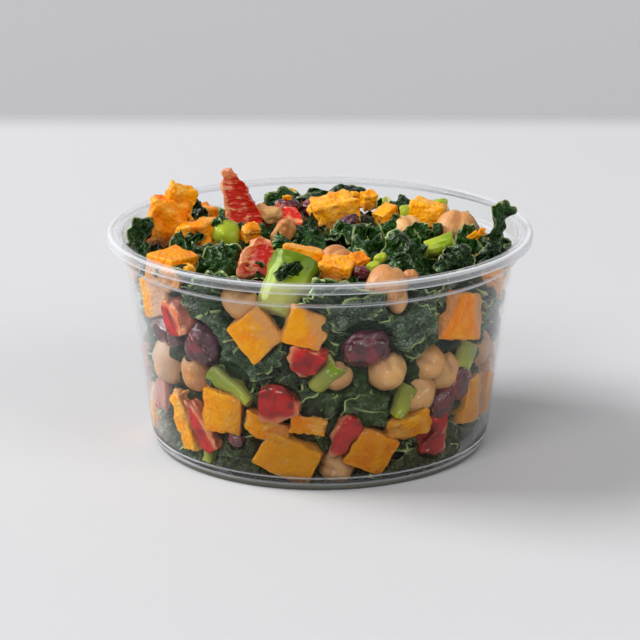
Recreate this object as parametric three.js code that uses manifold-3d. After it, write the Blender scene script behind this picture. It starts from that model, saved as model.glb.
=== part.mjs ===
// A clear round deli cup heaped with kale, butternut squash, chickpeas, cranberries,
// red pepper and chopped green stalks. Millimetres, +Z up, the origin under the middle of the foot,
// and the side that faces the viewer towards -Y.
import * as THREE from "three";
import { mergeVertices } from "three/addons/utils/BufferGeometryUtils.js";
import Module from "manifold-3d";

const wasm = await Module();
wasm.setup();

// ---- Driving sizes of the cup ----
const CUP_HEIGHT = 60;
const RIM_RADIUS = 58.5;
const RIM_THICKNESS = 1.1;
const LIP_DROP = 2.4; // how far the rim's outer edge turns down
const LIP_THICKNESS = 0.9;
const COLLAR_RADIUS = 55.2; // outside of the upright band under the rim
const LEDGE_DEPTH = 6.9; // from the rim down to the foot of that band
const LEDGE_RISE = 0.9;
const SHOULDER_RADIUS = 53.7; // outside of the tapered wall where it starts
const FOOT_RADIUS = 46.3;
const HEEL_HEIGHT = 3.8; // height of the corner above the foot
const HEEL_RADIUS = 47.3;
const WALL = 0.8;
const FLOOR = 1.7; // top of the cup's floor
const FOOT_RING_WIDTH = 2.1;
const FOOT_RECESS = 0.8;
const CUP_SEGMENTS = 48;
const ROOM_SEGMENTS = 24; // sides of the room that the salad is trimmed to

// ---- Driving sizes of the salad ----
const GAP = 0.35; // clearance between neighbouring solids
const HEAP_TOP = 55.6; // crown of the bare core
const CORE_INSET = 4.2; // core to cup wall
const CORE_SEGMENTS = 20;
const LEAF_THICKNESS = 0.8;
const WALL_ROWS = [8, 21, 34, 46.5];
const WALL_SLOTS = 13; // pieces in each row round the wall
const FRONT_DEGREES = 82; // either side of the front, where each piece has its own place
const CROWN_SLOTS = 18; // leaves that cover the heap's top
const CROWN_RADIUS = 47;
const CORNER_LEAST = 0.84; // how far a cube's corner may draw in, as a share of its size
const CORNER_SPREAD = 0.26; // how much further out it may stand

const GOLDEN_ANGLE = Math.PI * (3 - Math.sqrt(5));
const RAD = Math.PI / 180;

const COLOURS = {
  cup: [0xe9edf0, 0.18],
  salad: [0x24431f, 0.45],
  squash: [0xf08a16, 0.4],
  chickpea: [0xd9a86c, 0.5],
  pepper: [0xc62c1c, 0.3],
  cranberry: [0x4a0d1c, 0.3],
  stem: [0x8cb83a, 0.35],
};

function material(kind) {
  const [colour, roughness] = COLOURS[kind];
  return new THREE.MeshStandardMaterial({ name: kind, color: colour, roughness, metalness: 0 });
}

// A seeded stream of numbers from 0 to 1.
function randomStream(seed) {
  let state = seed | 0;
  return () => {
    state = (state + 0x6d2b79f5) | 0;
    let t = Math.imul(state ^ (state >>> 15), 1 | state);
    t = (t + Math.imul(t ^ (t >>> 7), 61 | t)) ^ t;
    return ((t ^ (t >>> 14)) >>> 0) / 4294967296;
  };
}

// ---- Between three.js geometry and solids that can be joined and cut ----
function solidOf(geometry, matrix = new THREE.Matrix4()) {
  const bare = new THREE.BufferGeometry();
  bare.setAttribute("position", geometry.getAttribute("position").clone());
  if (geometry.index) bare.setIndex(geometry.index.clone());
  const merged = mergeVertices(bare.applyMatrix4(matrix), 1e-4);
  const vertProperties = merged.attributes.position.array;
  const triVerts = new Uint32Array(merged.index.array);
  return new wasm.Manifold(new wasm.Mesh({ numProp: 3, vertProperties, triVerts }));
}

function geometryOf(solid) {
  const { vertProperties, triVerts } = solid.getMesh();
  const geometry = new THREE.BufferGeometry();
  geometry.setAttribute("position", new THREE.BufferAttribute(vertProperties, 3));
  geometry.setIndex(new THREE.BufferAttribute(triVerts, 1));
  const faceted = geometry.toNonIndexed();
  faceted.computeVertexNormals();
  return faceted;
}

function joined(solids) {
  return solids.reduce((whole, one) => whole.add(one));
}

function largestPiece(solid) {
  return solid.decompose().reduce((a, b) => (b.volume() > a.volume() ? b : a));
}

// A closed profile of [radius, height] turned round the Z axis.
function turned(profile, segments) {
  const points = profile.map(([r, z]) => new THREE.Vector2(r, z));
  return new THREE.LatheGeometry(points, segments).rotateX(Math.PI / 2);
}

// ---- The cup ----
// Inside radius of the cup at a height, less an inset.
function insideRadius(z, inset = 0) {
  const ledgeFoot = CUP_HEIGHT - LEDGE_DEPTH;
  const ledgeTop = ledgeFoot + LEDGE_RISE;
  const share = THREE.MathUtils.clamp((z - HEEL_HEIGHT) / (ledgeFoot - HEEL_HEIGHT), 0, 1);
  const taper = HEEL_RADIUS + (SHOULDER_RADIUS - HEEL_RADIUS) * share;
  const step = THREE.MathUtils.clamp((z - ledgeFoot) / (ledgeTop - ledgeFoot), 0, 1);
  return taper + (COLLAR_RADIUS - SHOULDER_RADIUS) * step - WALL - inset;
}

function cupGeometry() {
  const ledgeFoot = CUP_HEIGHT - LEDGE_DEPTH;
  const ledgeTop = ledgeFoot + LEDGE_RISE;
  const outside = [
    [0, FOOT_RECESS],
    [FOOT_RADIUS - FOOT_RING_WIDTH - 0.6, FOOT_RECESS],
    [FOOT_RADIUS - FOOT_RING_WIDTH, 0],
    [FOOT_RADIUS - 0.5, 0],
    [FOOT_RADIUS, 0.6],
    [HEEL_RADIUS, HEEL_HEIGHT],
    [SHOULDER_RADIUS, ledgeFoot],
    [COLLAR_RADIUS, ledgeTop],
    [COLLAR_RADIUS, CUP_HEIGHT - RIM_THICKNESS],
    [RIM_RADIUS - LIP_THICKNESS, CUP_HEIGHT - RIM_THICKNESS],
    [RIM_RADIUS - LIP_THICKNESS, CUP_HEIGHT - LIP_DROP],
    [RIM_RADIUS, CUP_HEIGHT - LIP_DROP],
    [RIM_RADIUS, CUP_HEIGHT - 0.5],
    [RIM_RADIUS - 0.5, CUP_HEIGHT],
    [COLLAR_RADIUS + 0.3, CUP_HEIGHT],
    [insideRadius(CUP_HEIGHT), CUP_HEIGHT - 0.5],
  ];
  const inside = [
    [insideRadius(ledgeTop), ledgeTop],
    [insideRadius(ledgeFoot), ledgeFoot],
    [insideRadius(HEEL_HEIGHT + 1), HEEL_HEIGHT + 1],
    [insideRadius(HEEL_HEIGHT) - 0.9, FLOOR + 0.5],
    [insideRadius(HEEL_HEIGHT) - 2.2, FLOOR],
    [0, FLOOR],
  ];
  return turned([...outside, ...inside], CUP_SEGMENTS);
}

// The room inside the cup, clear of it, and open above the rim.
function roomInCup() {
  const ledgeFoot = CUP_HEIGHT - LEDGE_DEPTH;
  const ledgeTop = ledgeFoot + LEDGE_RISE;
  const high = CUP_HEIGHT + 30;
  const profile = [
    [0, FLOOR + GAP],
    [insideRadius(HEEL_HEIGHT) - 2.5, FLOOR + GAP],
    [insideRadius(HEEL_HEIGHT) - 1.3, FLOOR + 0.8],
    [insideRadius(HEEL_HEIGHT + 1, GAP), HEEL_HEIGHT + 1],
    [insideRadius(ledgeFoot, GAP), ledgeFoot],
    [insideRadius(ledgeTop, GAP), ledgeTop + 0.3],
    [insideRadius(CUP_HEIGHT, GAP), high],
    [0, high],
  ];
  return solidOf(turned(profile, ROOM_SEGMENTS));
}

// ---- The pieces, each about its own middle, grown by twice a margin ----
// A knife-cut cube whose corners are pushed a little out of true.
function squashShape([wide, deep, high], grow, seed) {
  const random = randomStream(seed);
  const pushes = Array.from({ length: 8 }, () => [random(), random(), random()]);
  const size = [wide + 2 * grow, deep + 2 * grow, high + 2 * grow];
  const cube = mergeVertices(
    new THREE.BoxGeometry(1, 1, 1).deleteAttribute("normal").deleteAttribute("uv"),
  );
  const place = cube.attributes.position;
  for (let i = 0; i < place.count; i += 1) {
    const corner = [place.getX(i), place.getY(i), place.getZ(i)];
    const push = pushes[corner.reduce((number, value) => 2 * number + (value > 0 ? 1 : 0), 0)];
    const pushed = corner.map(
      (value, axis) => value * size[axis] * (CORNER_LEAST + CORNER_SPREAD * push[axis]),
    );
    place.setXYZ(i, ...pushed);
  }
  return cube;
}

// A round pea with a beak and a dent opposite its heavy side.
function chickpeaShape([wide, deep, high], grow) {
  const ball = new THREE.SphereGeometry(0.5, 7, 5);
  ball.deleteAttribute("normal").deleteAttribute("uv");
  const pea = mergeVertices(ball);
  const place = pea.attributes.position;
  for (let i = 0; i < place.count; i += 1) {
    const [x, y, z] = [place.getX(i), place.getY(i), place.getZ(i)];
    const beak = y > 0.45 ? 1.22 : 1;
    const cleft = z > 0.3 && Math.abs(x) < 0.1 ? 0.9 : 1;
    place.setXYZ(
      i,
      x * cleft * (wide + 2 * grow),
      y * beak * (deep + 2 * grow),
      z * cleft * (high + 2 * grow),
    );
  }
  return pea;
}

// A wrinkled oval berry.
function cranberryShape([wide, deep, high], grow, seed) {
  const random = randomStream(seed);
  const ball = new THREE.SphereGeometry(0.5, 6, 4);
  ball.deleteAttribute("normal").deleteAttribute("uv");
  const berry = mergeVertices(ball);
  const place = berry.attributes.position;
  for (let i = 0; i < place.count; i += 1) {
    const shrink = 0.84 + 0.3 * random();
    place.setXYZ(
      i,
      place.getX(i) * shrink * (wide + 2 * grow),
      place.getY(i) * shrink * (deep + 2 * grow),
      place.getZ(i) * shrink * (high + 2 * grow),
    );
  }
  return berry;
}

// A bent slab of pepper wall, widest at its middle and narrow at its far end.
function pepperShape([wide, deep, high], grow) {
  const slab = new THREE.BoxGeometry(1, 1, 1, 2, 1, 2);
  slab.deleteAttribute("normal").deleteAttribute("uv");
  const pepper = mergeVertices(slab);
  const place = pepper.attributes.position;
  for (let i = 0; i < place.count; i += 1) {
    const [x, y, z] = [place.getX(i), place.getY(i), place.getZ(i)];
    const taper = 0.82 - 0.6 * z - 1.35 * z * z;
    const bend = 0.9 * deep * (0.25 - x * x) + 0.5 * deep * (0.25 - z * z);
    place.setXYZ(
      i,
      x * taper * (wide + 2 * grow),
      y * (deep + 2 * grow) + bend,
      z * (high + 2 * grow),
    );
  }
  return pepper;
}

// A length of chopped stalk with one end wider than the other.
function stemShape([wide, deep, high], grow) {
  const rod = new THREE.CylinderGeometry(0.5, 0.42, 1, 8, 2).rotateX(Math.PI / 2);
  rod.deleteAttribute("normal").deleteAttribute("uv");
  const stem = mergeVertices(rod);
  const place = stem.attributes.position;
  for (let i = 0; i < place.count; i += 1) {
    const [x, y, z] = [place.getX(i), place.getY(i), place.getZ(i)];
    const waist = Math.abs(z) < 0.1 ? 1.06 : 1;
    place.setXYZ(
      i,
      x * waist * (wide + 2 * grow) + 0.06 * high * (0.25 - z * z),
      y * waist * (deep + 2 * grow),
      z * (high + 2 * grow),
    );
  }
  return stem;
}

const SHAPES = {
  squash: squashShape,
  chickpea: chickpeaShape,
  cranberry: cranberryShape,
  pepper: pepperShape,
  stem: stemShape,
};

// A thin wavy leaf over (u, v) from -1 to 1, with ruffles that grow towards its edge.
// warp takes a point of the flat leaf to its place, and the last pair counts its cells.
function leafSolid([width, length], curl, ruffle, seed, warp, [across, along]) {
  const random = randomStream(seed);
  const [phaseU, phaseV] = [random() * 6.28, random() * 6.28];
  const positions = [];
  const indices = [];
  const id = (face, i, j) => (face * (across + 1) + i) * (along + 1) + j;
  for (const side of [1, -1]) {
    for (let i = 0; i <= across; i += 1) {
      for (let j = 0; j <= along; j += 1) {
        const [u, v] = [(2 * i) / across - 1, (2 * j) / along - 1];
        const edge = Math.max(Math.abs(u), Math.abs(v));
        const wave = Math.sin(4.2 * u + phaseU) * Math.cos(3.1 * v + phaseV);
        const rise = curl * (u * u + 0.5 * v * v) + ruffle * wave * (0.4 + 0.6 * edge);
        const x = (u * width * (1 - 0.22 * v * v)) / 2;
        const y = (v * length * (1 - 0.18 * u * u)) / 2;
        positions.push(...warp(x, y, rise + (side * LEAF_THICKNESS) / 2, u, v));
      }
    }
  }
  for (let i = 0; i < across; i += 1) {
    for (let j = 0; j < along; j += 1) {
      const top = [id(0, i, j), id(0, i + 1, j), id(0, i + 1, j + 1), id(0, i, j + 1)];
      const low = [id(1, i, j), id(1, i + 1, j), id(1, i + 1, j + 1), id(1, i, j + 1)];
      indices.push(top[0], top[1], top[2], top[0], top[2], top[3]);
      indices.push(low[0], low[2], low[1], low[0], low[3], low[2]);
    }
  }
  const loop = [];
  for (let i = 0; i < across; i += 1) loop.push([i, 0]);
  for (let j = 0; j < along; j += 1) loop.push([across, j]);
  for (let i = across; i > 0; i -= 1) loop.push([i, along]);
  for (let j = along; j > 0; j -= 1) loop.push([0, j]);
  loop.forEach(([i, j], n) => {
    const [k, l] = loop[(n + 1) % loop.length];
    indices.push(id(0, i, j), id(1, i, j), id(1, k, l), id(0, i, j), id(1, k, l), id(0, k, l));
  });
  const leaf = new THREE.BufferGeometry();
  leaf.setAttribute("position", new THREE.Float32BufferAttribute(positions, 3));
  leaf.setIndex(indices);
  return solidOf(leaf);
}

// ---- Places ----
// The turns of a piece about its own X, Y and Z, in degrees.
function turnMatrix([x, y, z]) {
  return new THREE.Matrix4().makeRotationFromEuler(new THREE.Euler(x * RAD, y * RAD, z * RAD));
}

function placed({ kind, at, size, turn, seed }, grow = 0) {
  return solidOf(SHAPES[kind](size, grow, seed), turnMatrix(turn).setPosition(...at));
}

// The loose pieces on top of the heap: kind, middle, size and turns.
const ON_TOP = [
  ["squash", [-42.4, 3, 60], [11, 7, 15], [-4, 12, 8]],
  ["squash", [-38.6, 5, 67.6], [8, 5, 6], [0, 24, 15]],
  ["squash", [-33.8, 18, 57.5], [9, 9, 8], [5, 0, 30]],
  ["squash", [-33.8, -3, 58], [10.5, 8, 8.5], [0, -12, -15]],
  ["squash", [-39.4, -25.5, 55.2], [10, 10, 9], [4, 2, 44]],
  ["pepper", [-22.6, 14, 61.8], [10.4, 4.5, 22.6], [-8, -19, 4]],
  ["pepper", [-16.5, -27, 57.5], [12, 6, 13], [-35, 14, 18]],
  ["pepper", [-10.8, 19, 57.3], [13, 4.5, 8], [-60, 0, 8]],
  ["squash", [3.8, 24, 57.4], [13.4, 10.6, 9.2], [6, -8, 20]],
  ["squash", [-5, -26, 57], [11, 8, 9], [-8, 12, 5]],
  ["squash", [4.2, -33, 55.3], [9, 8.5, 9.5], [8, 8, -12]],
  ["squash", [19, 19.6, 57.2], [5.8, 5.6, 6.2], [10, -20, 35]],
  ["squash", [30, 18.5, 57.6], [10.5, 9, 9.6], [0, 10, -20]],
  ["stem", [-8.8, -42, 55], [14, 9, 17], [-40, 20, 0]],
  ["stem", [-25.8, -4, 58.4], [10.2, 9.6, 8.8], [10, 4, 0]],
  ["stem", [32.6, -12.5, 57.8], [6.4, 6.4, 7.8], [8, 72, 30]],
  ["stem", [24.6, 18.5, 59.2], [5.6, 5.2, 5.4], [20, 10, 0]],
  ["chickpea", [4.4, -23.8, 56.8], [9, 9.4, 8.6], [10, 20, 130]],
  ["chickpea", [17.3, -44.2, 55.9], [11, 11, 11], [-62, 15, 10]],
  ["chickpea", [24.2, 6.2, 56.8], [9.6, 10, 9.2], [0, 0, 200]],
  ["chickpea", [38, 4.5, 57.2], [12.6, 12.6, 11.6], [50, 0, 170]],
  ["cranberry", [-9.4, 30, 57.6], [8, 6.5, 5.5], [0, 8, 20]],
  ["cranberry", [-2.8, 31, 57.2], [6, 5.5, 5], [0, -10, 60]],
  ["cranberry", [7.4, 12, 57.4], [8, 6, 5], [0, -26, 12]],
];

// Pieces that press against the front of the wall: kind, degrees round from the front,
// height, size, turns while it still lies at the front, and how deep its middle lies.
const AT_WALL = [
  ["squash", -20, 44, [12, 11, 11], [14, -40, 20], 5.0],
  ["squash", -5.2, 45.7, [11.5, 11, 10], [-10, 18, 24], 4.9],
  ["squash", -10.5, 9.4, [15.4, 11, 11.6], [14, 24, -8], 4.9],
  ["squash", 17.3, 10.6, [11.4, 12, 11.4], [6, 28, -6], 5.2],
  ["squash", -34, 20.5, [11.6, 11, 12.5], [8, 6, 14], 4.6],
  ["squash", -52.4, 13.8, [5, 8, 17], [4, -20, 10], 3.6],
  ["squash", 50.5, 43.8, [18.5, 12.5, 13.5], [-6, 14, 26], 5.4],
  ["squash", 59, 18, [12, 10, 13], [0, 8, 10], 4.4],
  ["squash", 31, 17, [13, 8, 6.6], [20, -14, -14], 3.6],
  ["squash", -17.5, 17.4, [13, 6, 6], [0, 20, 8], 3],
  ["squash", -61, 47.4, [12.4, 10, 11], [6, -12, 14], 5.4],
  ["squash", 75, 49.5, [10, 9, 9], [8, -20, 10], 5.2],
  ["squash", -50, 55, [9, 7, 5], [10, -4, 0], 5.4],
  ["squash", 76.5, 17.4, [14, 10, 14], [0, -4, 8], 4.6],
  ["chickpea", 22.3, 32.5, [11.2, 10.8, 11.2], [0, -25, 0], 4.9],
  ["chickpea", 37.6, 32.7, [10.4, 10.4, 10.4], [0, -60, 0], 4.7],
  ["chickpea", 46, 28.4, [11.6, 10.4, 11.4], [0, -10, 0], 5.4],
  ["chickpea", 34.6, 24.2, [11.2, 10.4, 11.8], [20, -170, 0], 4.8],
  ["chickpea", 6.1, 5.9, [9.8, 10, 9.8], [0, -80, 0], 4.9],
  ["chickpea", -45.2, 28.7, [10.6, 10.4, 11.2], [0, -10, 0], 4.8],
  ["chickpea", -66, 27.4, [14, 11.4, 12.6], [0, -120, 0], 6],
  ["chickpea", 5.5, 32.5, [9.6, 10, 9.6], [0, -45, 0], 6.2],
  ["chickpea", 69, 30.5, [12, 11, 12], [0, -20, 0], 6],
  ["cranberry", -40, 37.9, [10.5, 9, 12.5], [0, -14, 0], 3.2],
  ["cranberry", -57.5, 38, [13, 8, 8.5], [0, 8, 0], 3.2],
  ["cranberry", 14.2, 39.9, [14, 8.6, 10.4], [0, 4, 0], 3.2],
  ["cranberry", 43.4, 20.8, [12, 8, 10], [0, -36, 0], 2.8],
  ["cranberry", 51.4, 24.8, [11.5, 8, 11], [0, 24, 0], 2.6],
  ["pepper", -49.5, 44.4, [10.5, 6, 9.5], [10, -14, 160], 3.2],
  ["pepper", -42.6, 14.2, [5.6, 4, 15], [0, -32, 176], 2],
  ["pepper", -12.8, 24.2, [11, 5, 11], [10, 96, 170], 2.8],
  ["pepper", 7.6, 15.4, [7, 4, 12], [4, -150, 190], 2.2],
  ["pepper", 41.4, 10.2, [10, 4, 7.4], [10, 12, 180], 2.8],
  ["pepper", 42.6, 15.4, [7.6, 4, 6], [-10, 40, 180], 2.6],
  ["pepper", -4.2, 37.4, [10.5, 5, 8], [20, 200, 190], 3.2],
  ["squash", -3.6, 18.8, [9, 5.4, 5], [0, 10, 0], 2.6],
  ["pepper", -69, 18.4, [9, 5, 10], [0, 4, 180], 4.6],
  ["stem", -30, 27.4, [5, 4.6, 13.6], [0, -60, 0], 2.6],
  ["stem", 54.4, 31.2, [8, 5, 8], [0, 30, 0], 2.8],
  ["stem", 28, 23.4, [6.4, 5, 9], [0, 28, 0], 2.8],
  ["stem", 2, 32.8, [7, 6, 10], [20, 40, 0], 3.6],
  ["stem", -41.6, 7, [4.4, 4.4, 7], [0, 10, 0], 2.6],
  ["cranberry", -29, 12.4, [5.4, 4, 4.4], [0, 20, 0], 1.8],
  ["chickpea", -25.5, 51, [11.5, 9, 8.5], [0, 30, 0], 5.2],
  ["chickpea", 24, 52.6, [5, 5, 7.6], [0, 8, 0], 3],
];

// Leaves that lie on the heap: middle, width and length, turns, curl and ruffle.
const ON_TOP_LEAVES = [
  [[-48, -8, 58.2], [10, 11], [60, -35, -30], 2.4, 1.4],
  [[-31, -24, 58], [14, 13], [40, -8, 20], -2.5, 2.2],
  [[-24.5, -30, 58], [16, 14], [46, 8, -20], -2.5, 2.4],
  [[-35, -13, 57.2], [12, 9], [30, 8, -30], -2, 2],
  [[-37, 14, 57.6], [9, 8], [30, 30, 50], -2, 1.6],
  [[-3, -4, 58.2], [17, 13], [36, 4, 12], -3.4, 2.2],
  [[-9, -15, 57.4], [10, 10], [50, 30, 0], -2, 1.8],
  [[-3, 18, 57], [12, 9], [24, -10, 30], -2, 1.8],
  [[9, -1, 58], [14, 10], [40, 10, -10], -2.4, 2.4],
  [[17, 3, 58.2], [14, 10], [44, -16, 14], -2.6, 2.6],
  [[11, -12, 56.8], [15, 10], [24, 0, 40], -2, 2],
  [[24, -22, 57.8], [17, 15], [44, 6, -14], -3, 2.8],
  [[27, -3, 58], [8, 7], [50, 10, 30], -1.4, 1.2],
  [[36.5, -23, 57], [12, 10], [46, 14, 10], -1.6, 1.4],
  [[43, -8, 57.6], [13, 11], [46, 20, 40], -2.2, 2.2],
  [[48.8, 1, 59], [7.6, 19], [88, 50, -14], 1.4, 1.4],
  [[47.5, -14, 56.6], [11, 9], [40, 30, 60], -2, 2],
  [[4, 42, 58], [18, 8], [60, 0, 6], -2, 1.6],
  [[23, 34, 57], [12, 8], [50, 6, -10], -2, 1.6],
  [[9, -38, 56.4], [11, 8], [30, 0, 30], -1.6, 1.6],
  [[-4.6, -41, 60.6], [11, 8], [40, 24, 30], -3, 1.2],
];

// Kinds in the order in which the unseen places are filled, with their usual sizes.
const FILL_KINDS = ["squash", "chickpea", "pepper", "squash", "cranberry", "chickpea", "stem"];
const FILL_SIZES = {
  squash: [11.5, 11, 12],
  chickpea: [10, 10.4, 10],
  pepper: [9, 4, 12],
  cranberry: [11, 7.5, 7.5],
  stem: [5, 5, 12],
};

// A piece behind the wall: it is turned at the front of the cup and then carried round it.
function wallPiece([kind, degrees, height, size, turn, depth], seed) {
  const angle = degrees * RAD;
  const radius = insideRadius(height) - depth;
  const at = [radius * Math.sin(angle), -radius * Math.cos(angle), height];
  const matrix = new THREE.Matrix4().makeRotationZ(angle).multiply(turnMatrix(turn));
  return solidOf(SHAPES[kind](size, 0, seed), matrix.setPosition(...at));
}

// Distance in millimetres along the wall between two places on it.
function wallDistance(a, b) {
  const turn = Math.abs(((((a[1] - b[1]) % 360) + 540) % 360) - 180);
  return Math.hypot(turn * RAD * insideRadius((a[2] + b[2]) / 2), a[2] - b[2]);
}

// Fills the unseen rest of the wall row by row, wherever no piece stands too near.
function wallRows() {
  const random = randomStream(11);
  const pieces = [...AT_WALL];
  WALL_ROWS.forEach((height, row) => {
    for (let slot = 0; slot < WALL_SLOTS; slot += 1) {
      const draws = Array.from({ length: 7 }, random);
      const degrees = (360 * (slot + 0.5 * (row % 2))) / WALL_SLOTS + 6 * (draws[0] - 0.5);
      const kind = FILL_KINDS[Math.floor(draws[1] * FILL_KINDS.length)];
      const scale = 0.85 + 0.3 * draws[2];
      const size = FILL_SIZES[kind].map((value) => value * scale);
      const z = height + 3 * (draws[3] - 0.5);
      const skinOut = kind === "pepper" ? 180 : 0;
      const tilt = [40 * (draws[5] - 0.5), 360 * draws[4], 40 * (draws[6] - 0.5) + skinOut];
      const piece = [kind, degrees, z, size, tilt, 0.42 * size[1]];
      const reach = 0.5 * Math.max(size[0], size[2]);
      const behind = Math.abs(((degrees + 180) % 360) - 180) > FRONT_DEGREES;
      const free = pieces.every(
        (other) => wallDistance(piece, other) > reach + 0.38 * Math.max(other[3][0], other[3][2]),
      );
      if (behind && free) pieces.push(piece);
    }
  });
  return pieces;
}

// Height of the bare core's top: domed, and lower along the back of the cup.
function heapHeight(x, y) {
  const radius = Math.hypot(x, y);
  const dome = HEAP_TOP - 0.0009 * radius * radius;
  const ripple = 0.5 * Math.sin(0.23 * x + 1) * Math.cos(0.19 * y);
  return dome + ripple - 2.2 * THREE.MathUtils.smoothstep(y, 26, 48);
}

// Leaves all over the crown between the hand-placed ones, on a sunflower spiral.
function crownLeaves() {
  const random = randomStream(37);
  return Array.from({ length: CROWN_SLOTS }, (_, i) => {
    const draws = Array.from({ length: 5 }, random);
    const radius = CROWN_RADIUS * Math.sqrt((i + 0.5) / CROWN_SLOTS);
    const [x, y] = [radius * Math.cos(i * GOLDEN_ANGLE), radius * Math.sin(i * GOLDEN_ANGLE)];
    const size = [12 + 5 * draws[0], 9 + 4 * draws[1]];
    const turn = [40 * (draws[2] - 0.5), 40 * (draws[3] - 0.5), 360 * draws[4]];
    return [[x, y, heapHeight(x, y) + 0.4], size, turn, -1.6, 1.6];
  });
}

// The solid middle of the heap.
function coreSolid() {
  const foot = FLOOR + GAP;
  const profile = [
    [0, foot],
    [insideRadius(HEEL_HEIGHT, CORE_INSET), foot],
    [insideRadius(18, CORE_INSET), 18],
    [insideRadius(34, CORE_INSET), 34],
    [insideRadius(48, CORE_INSET), 48],
    [insideRadius(52, CORE_INSET + 2), 52.4],
    [34, 54],
    [17, 55],
    [0, HEAP_TOP],
  ];
  const core = turned(profile, CORE_SEGMENTS);
  const place = core.attributes.position;
  for (let i = 0; i < place.count; i += 1) {
    const [x, y, z] = [place.getX(i), place.getY(i), place.getZ(i)];
    const angle = Math.atan2(y, x);
    const swell = 1 + 0.012 * Math.sin(5 * angle + 0.2 * z) + 0.01 * Math.sin(9 * angle - z);
    const top = THREE.MathUtils.smoothstep(z, 49, 53);
    place.setXYZ(i, x * swell, y * swell, z + top * (heapHeight(x, y) - z));
  }
  return solidOf(core);
}

// ---- Putting it together ----
const salad = new THREE.Group();
salad.name = "kale_squash_salad_cup";

function addMesh(name, kind, geometry) {
  const mesh = new THREE.Mesh(geometry, material(kind));
  mesh.name = name;
  salad.add(mesh);
}

addMesh("cup", "cup", cupGeometry());

const room = roomInCup();
const counts = {};
let taken = null; // room of the loose pieces so far, grown by the gap
ON_TOP.forEach(([kind, at, size, turn], i) => {
  const piece = { kind, at, size, turn, seed: 900 + i };
  let solid = placed(piece).intersect(room);
  if (taken) solid = largestPiece(solid.subtract(taken));
  const grown = placed(piece, GAP);
  taken = taken ? taken.add(grown) : grown;
  counts[kind] = (counts[kind] ?? 0) + 1;
  addMesh(`${kind}_${counts[kind]}`, kind, geometryOf(solid));
});

function topLeaf([at, size, turn, curl, ruffle], seed, cells) {
  const matrix = turnMatrix(turn).setPosition(...at);
  const warp = (x, y, rise) => new THREE.Vector3(x, y, rise).applyMatrix4(matrix).toArray();
  return leafSolid(size, curl, ruffle, seed, warp, cells);
}

const heapPieces = [
  ...wallRows().map((piece, i) => wallPiece(piece, 300 + i)),
  ...ON_TOP_LEAVES.map((leaf, i) => topLeaf(leaf, 700 + i, [3, 3])),
  ...crownLeaves().map((leaf, i) => topLeaf(leaf, 800 + i, [2, 2])),
];
const heap = joined([coreSolid(), ...heapPieces]).intersect(room).subtract(taken);
addMesh("salad", "salad", geometryOf(largestPiece(heap)));

export default salad;
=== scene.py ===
"""A kale, butternut squash and chickpea salad heaped in a clear deli cup.

Sizes are in millimetres until a mesh is made. Z points up, the origin is under the middle of the
cup's foot, and the side towards the camera faces -Y, as in the solids.
"""

import logging
import math
from collections.abc import Sequence
from dataclasses import dataclass, field
from enum import Enum

import bpy
import numpy as np
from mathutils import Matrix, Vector


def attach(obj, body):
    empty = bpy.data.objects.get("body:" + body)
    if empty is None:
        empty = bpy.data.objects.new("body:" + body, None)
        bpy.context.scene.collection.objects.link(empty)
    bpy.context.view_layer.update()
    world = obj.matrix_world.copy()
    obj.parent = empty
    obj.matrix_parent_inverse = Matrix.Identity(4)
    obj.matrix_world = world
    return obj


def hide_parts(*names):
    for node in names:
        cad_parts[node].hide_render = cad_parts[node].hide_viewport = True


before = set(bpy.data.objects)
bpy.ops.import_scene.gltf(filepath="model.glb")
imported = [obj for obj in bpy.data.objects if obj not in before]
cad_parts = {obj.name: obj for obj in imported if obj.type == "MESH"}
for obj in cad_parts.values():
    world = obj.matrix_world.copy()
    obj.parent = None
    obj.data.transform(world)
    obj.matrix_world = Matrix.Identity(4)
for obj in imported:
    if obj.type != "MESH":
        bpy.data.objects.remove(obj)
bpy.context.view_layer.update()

MM = 0.001
TURN = 2 * math.pi
TINY = 1e-9
GOLDEN_ANGLE = math.pi * (3 - math.sqrt(5))
BODY = "root"
LOG = logging.getLogger("salad")

Triple = tuple[float, float, float]


# ---------------------------------------------------------------- numbers and noise


class Draws:
    """A seeded stream of numbers from 0 to 1, the same stream as lays out the solids."""

    MASK = 0xFFFFFFFF

    def __init__(self, seed: int) -> None:
        """Starts the stream.

        Args:
            seed: any whole number.
        """
        self.state = seed & self.MASK

    def __call__(self) -> float:
        """Returns the stream's next number."""
        self.state = (self.state + 0x6D2B79F5) & self.MASK
        mixed = ((self.state ^ (self.state >> 15)) * (1 | self.state)) & self.MASK
        mixed ^= (mixed + ((mixed ^ (mixed >> 7)) * (61 | mixed) & self.MASK)) & self.MASK
        return ((mixed ^ (mixed >> 14)) & self.MASK) / 4294967296

    def several(self, count: int) -> list[float]:
        """Returns the stream's next few numbers."""
        return [self() for _ in range(count)]


def swell(points: np.ndarray, wavelength: float, seed: int, waves: int = 12) -> np.ndarray:
    """Smooth noise about 0: sine waves in random directions, summed, over the root of their number.

    Args:
        points: places, with x, y and z along the last axis.
        wavelength: usual distance between two crests.
        seed: picks the directions and phases.
        waves: how many sine waves are added.

    Returns:
        One value for each point, mostly from -1.4 to 1.4.
    """
    random = np.random.default_rng(seed)
    directions = random.normal(size=(waves, 3))
    directions /= np.linalg.norm(directions, axis=1)[:, None]
    strides = TURN / (wavelength * random.uniform(0.7, 1.4, waves))
    phases = random.uniform(0, TURN, waves)
    return np.sin(points @ (directions * strides[:, None]).T + phases).sum(-1) / math.sqrt(waves)


def smooth_step(value: np.ndarray, low: float, high: float) -> np.ndarray:
    """Returns 0 below low, 1 above high and 3 t squared less 2 t cubed between them."""
    share = np.clip((value - low) / (high - low), 0, 1)
    return share * share * (3 - 2 * share)


def bell(value: np.ndarray, width: np.ndarray | float) -> np.ndarray:
    """Returns e to the minus square of the value over the width."""
    return np.exp(-((value / width) ** 2))


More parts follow.
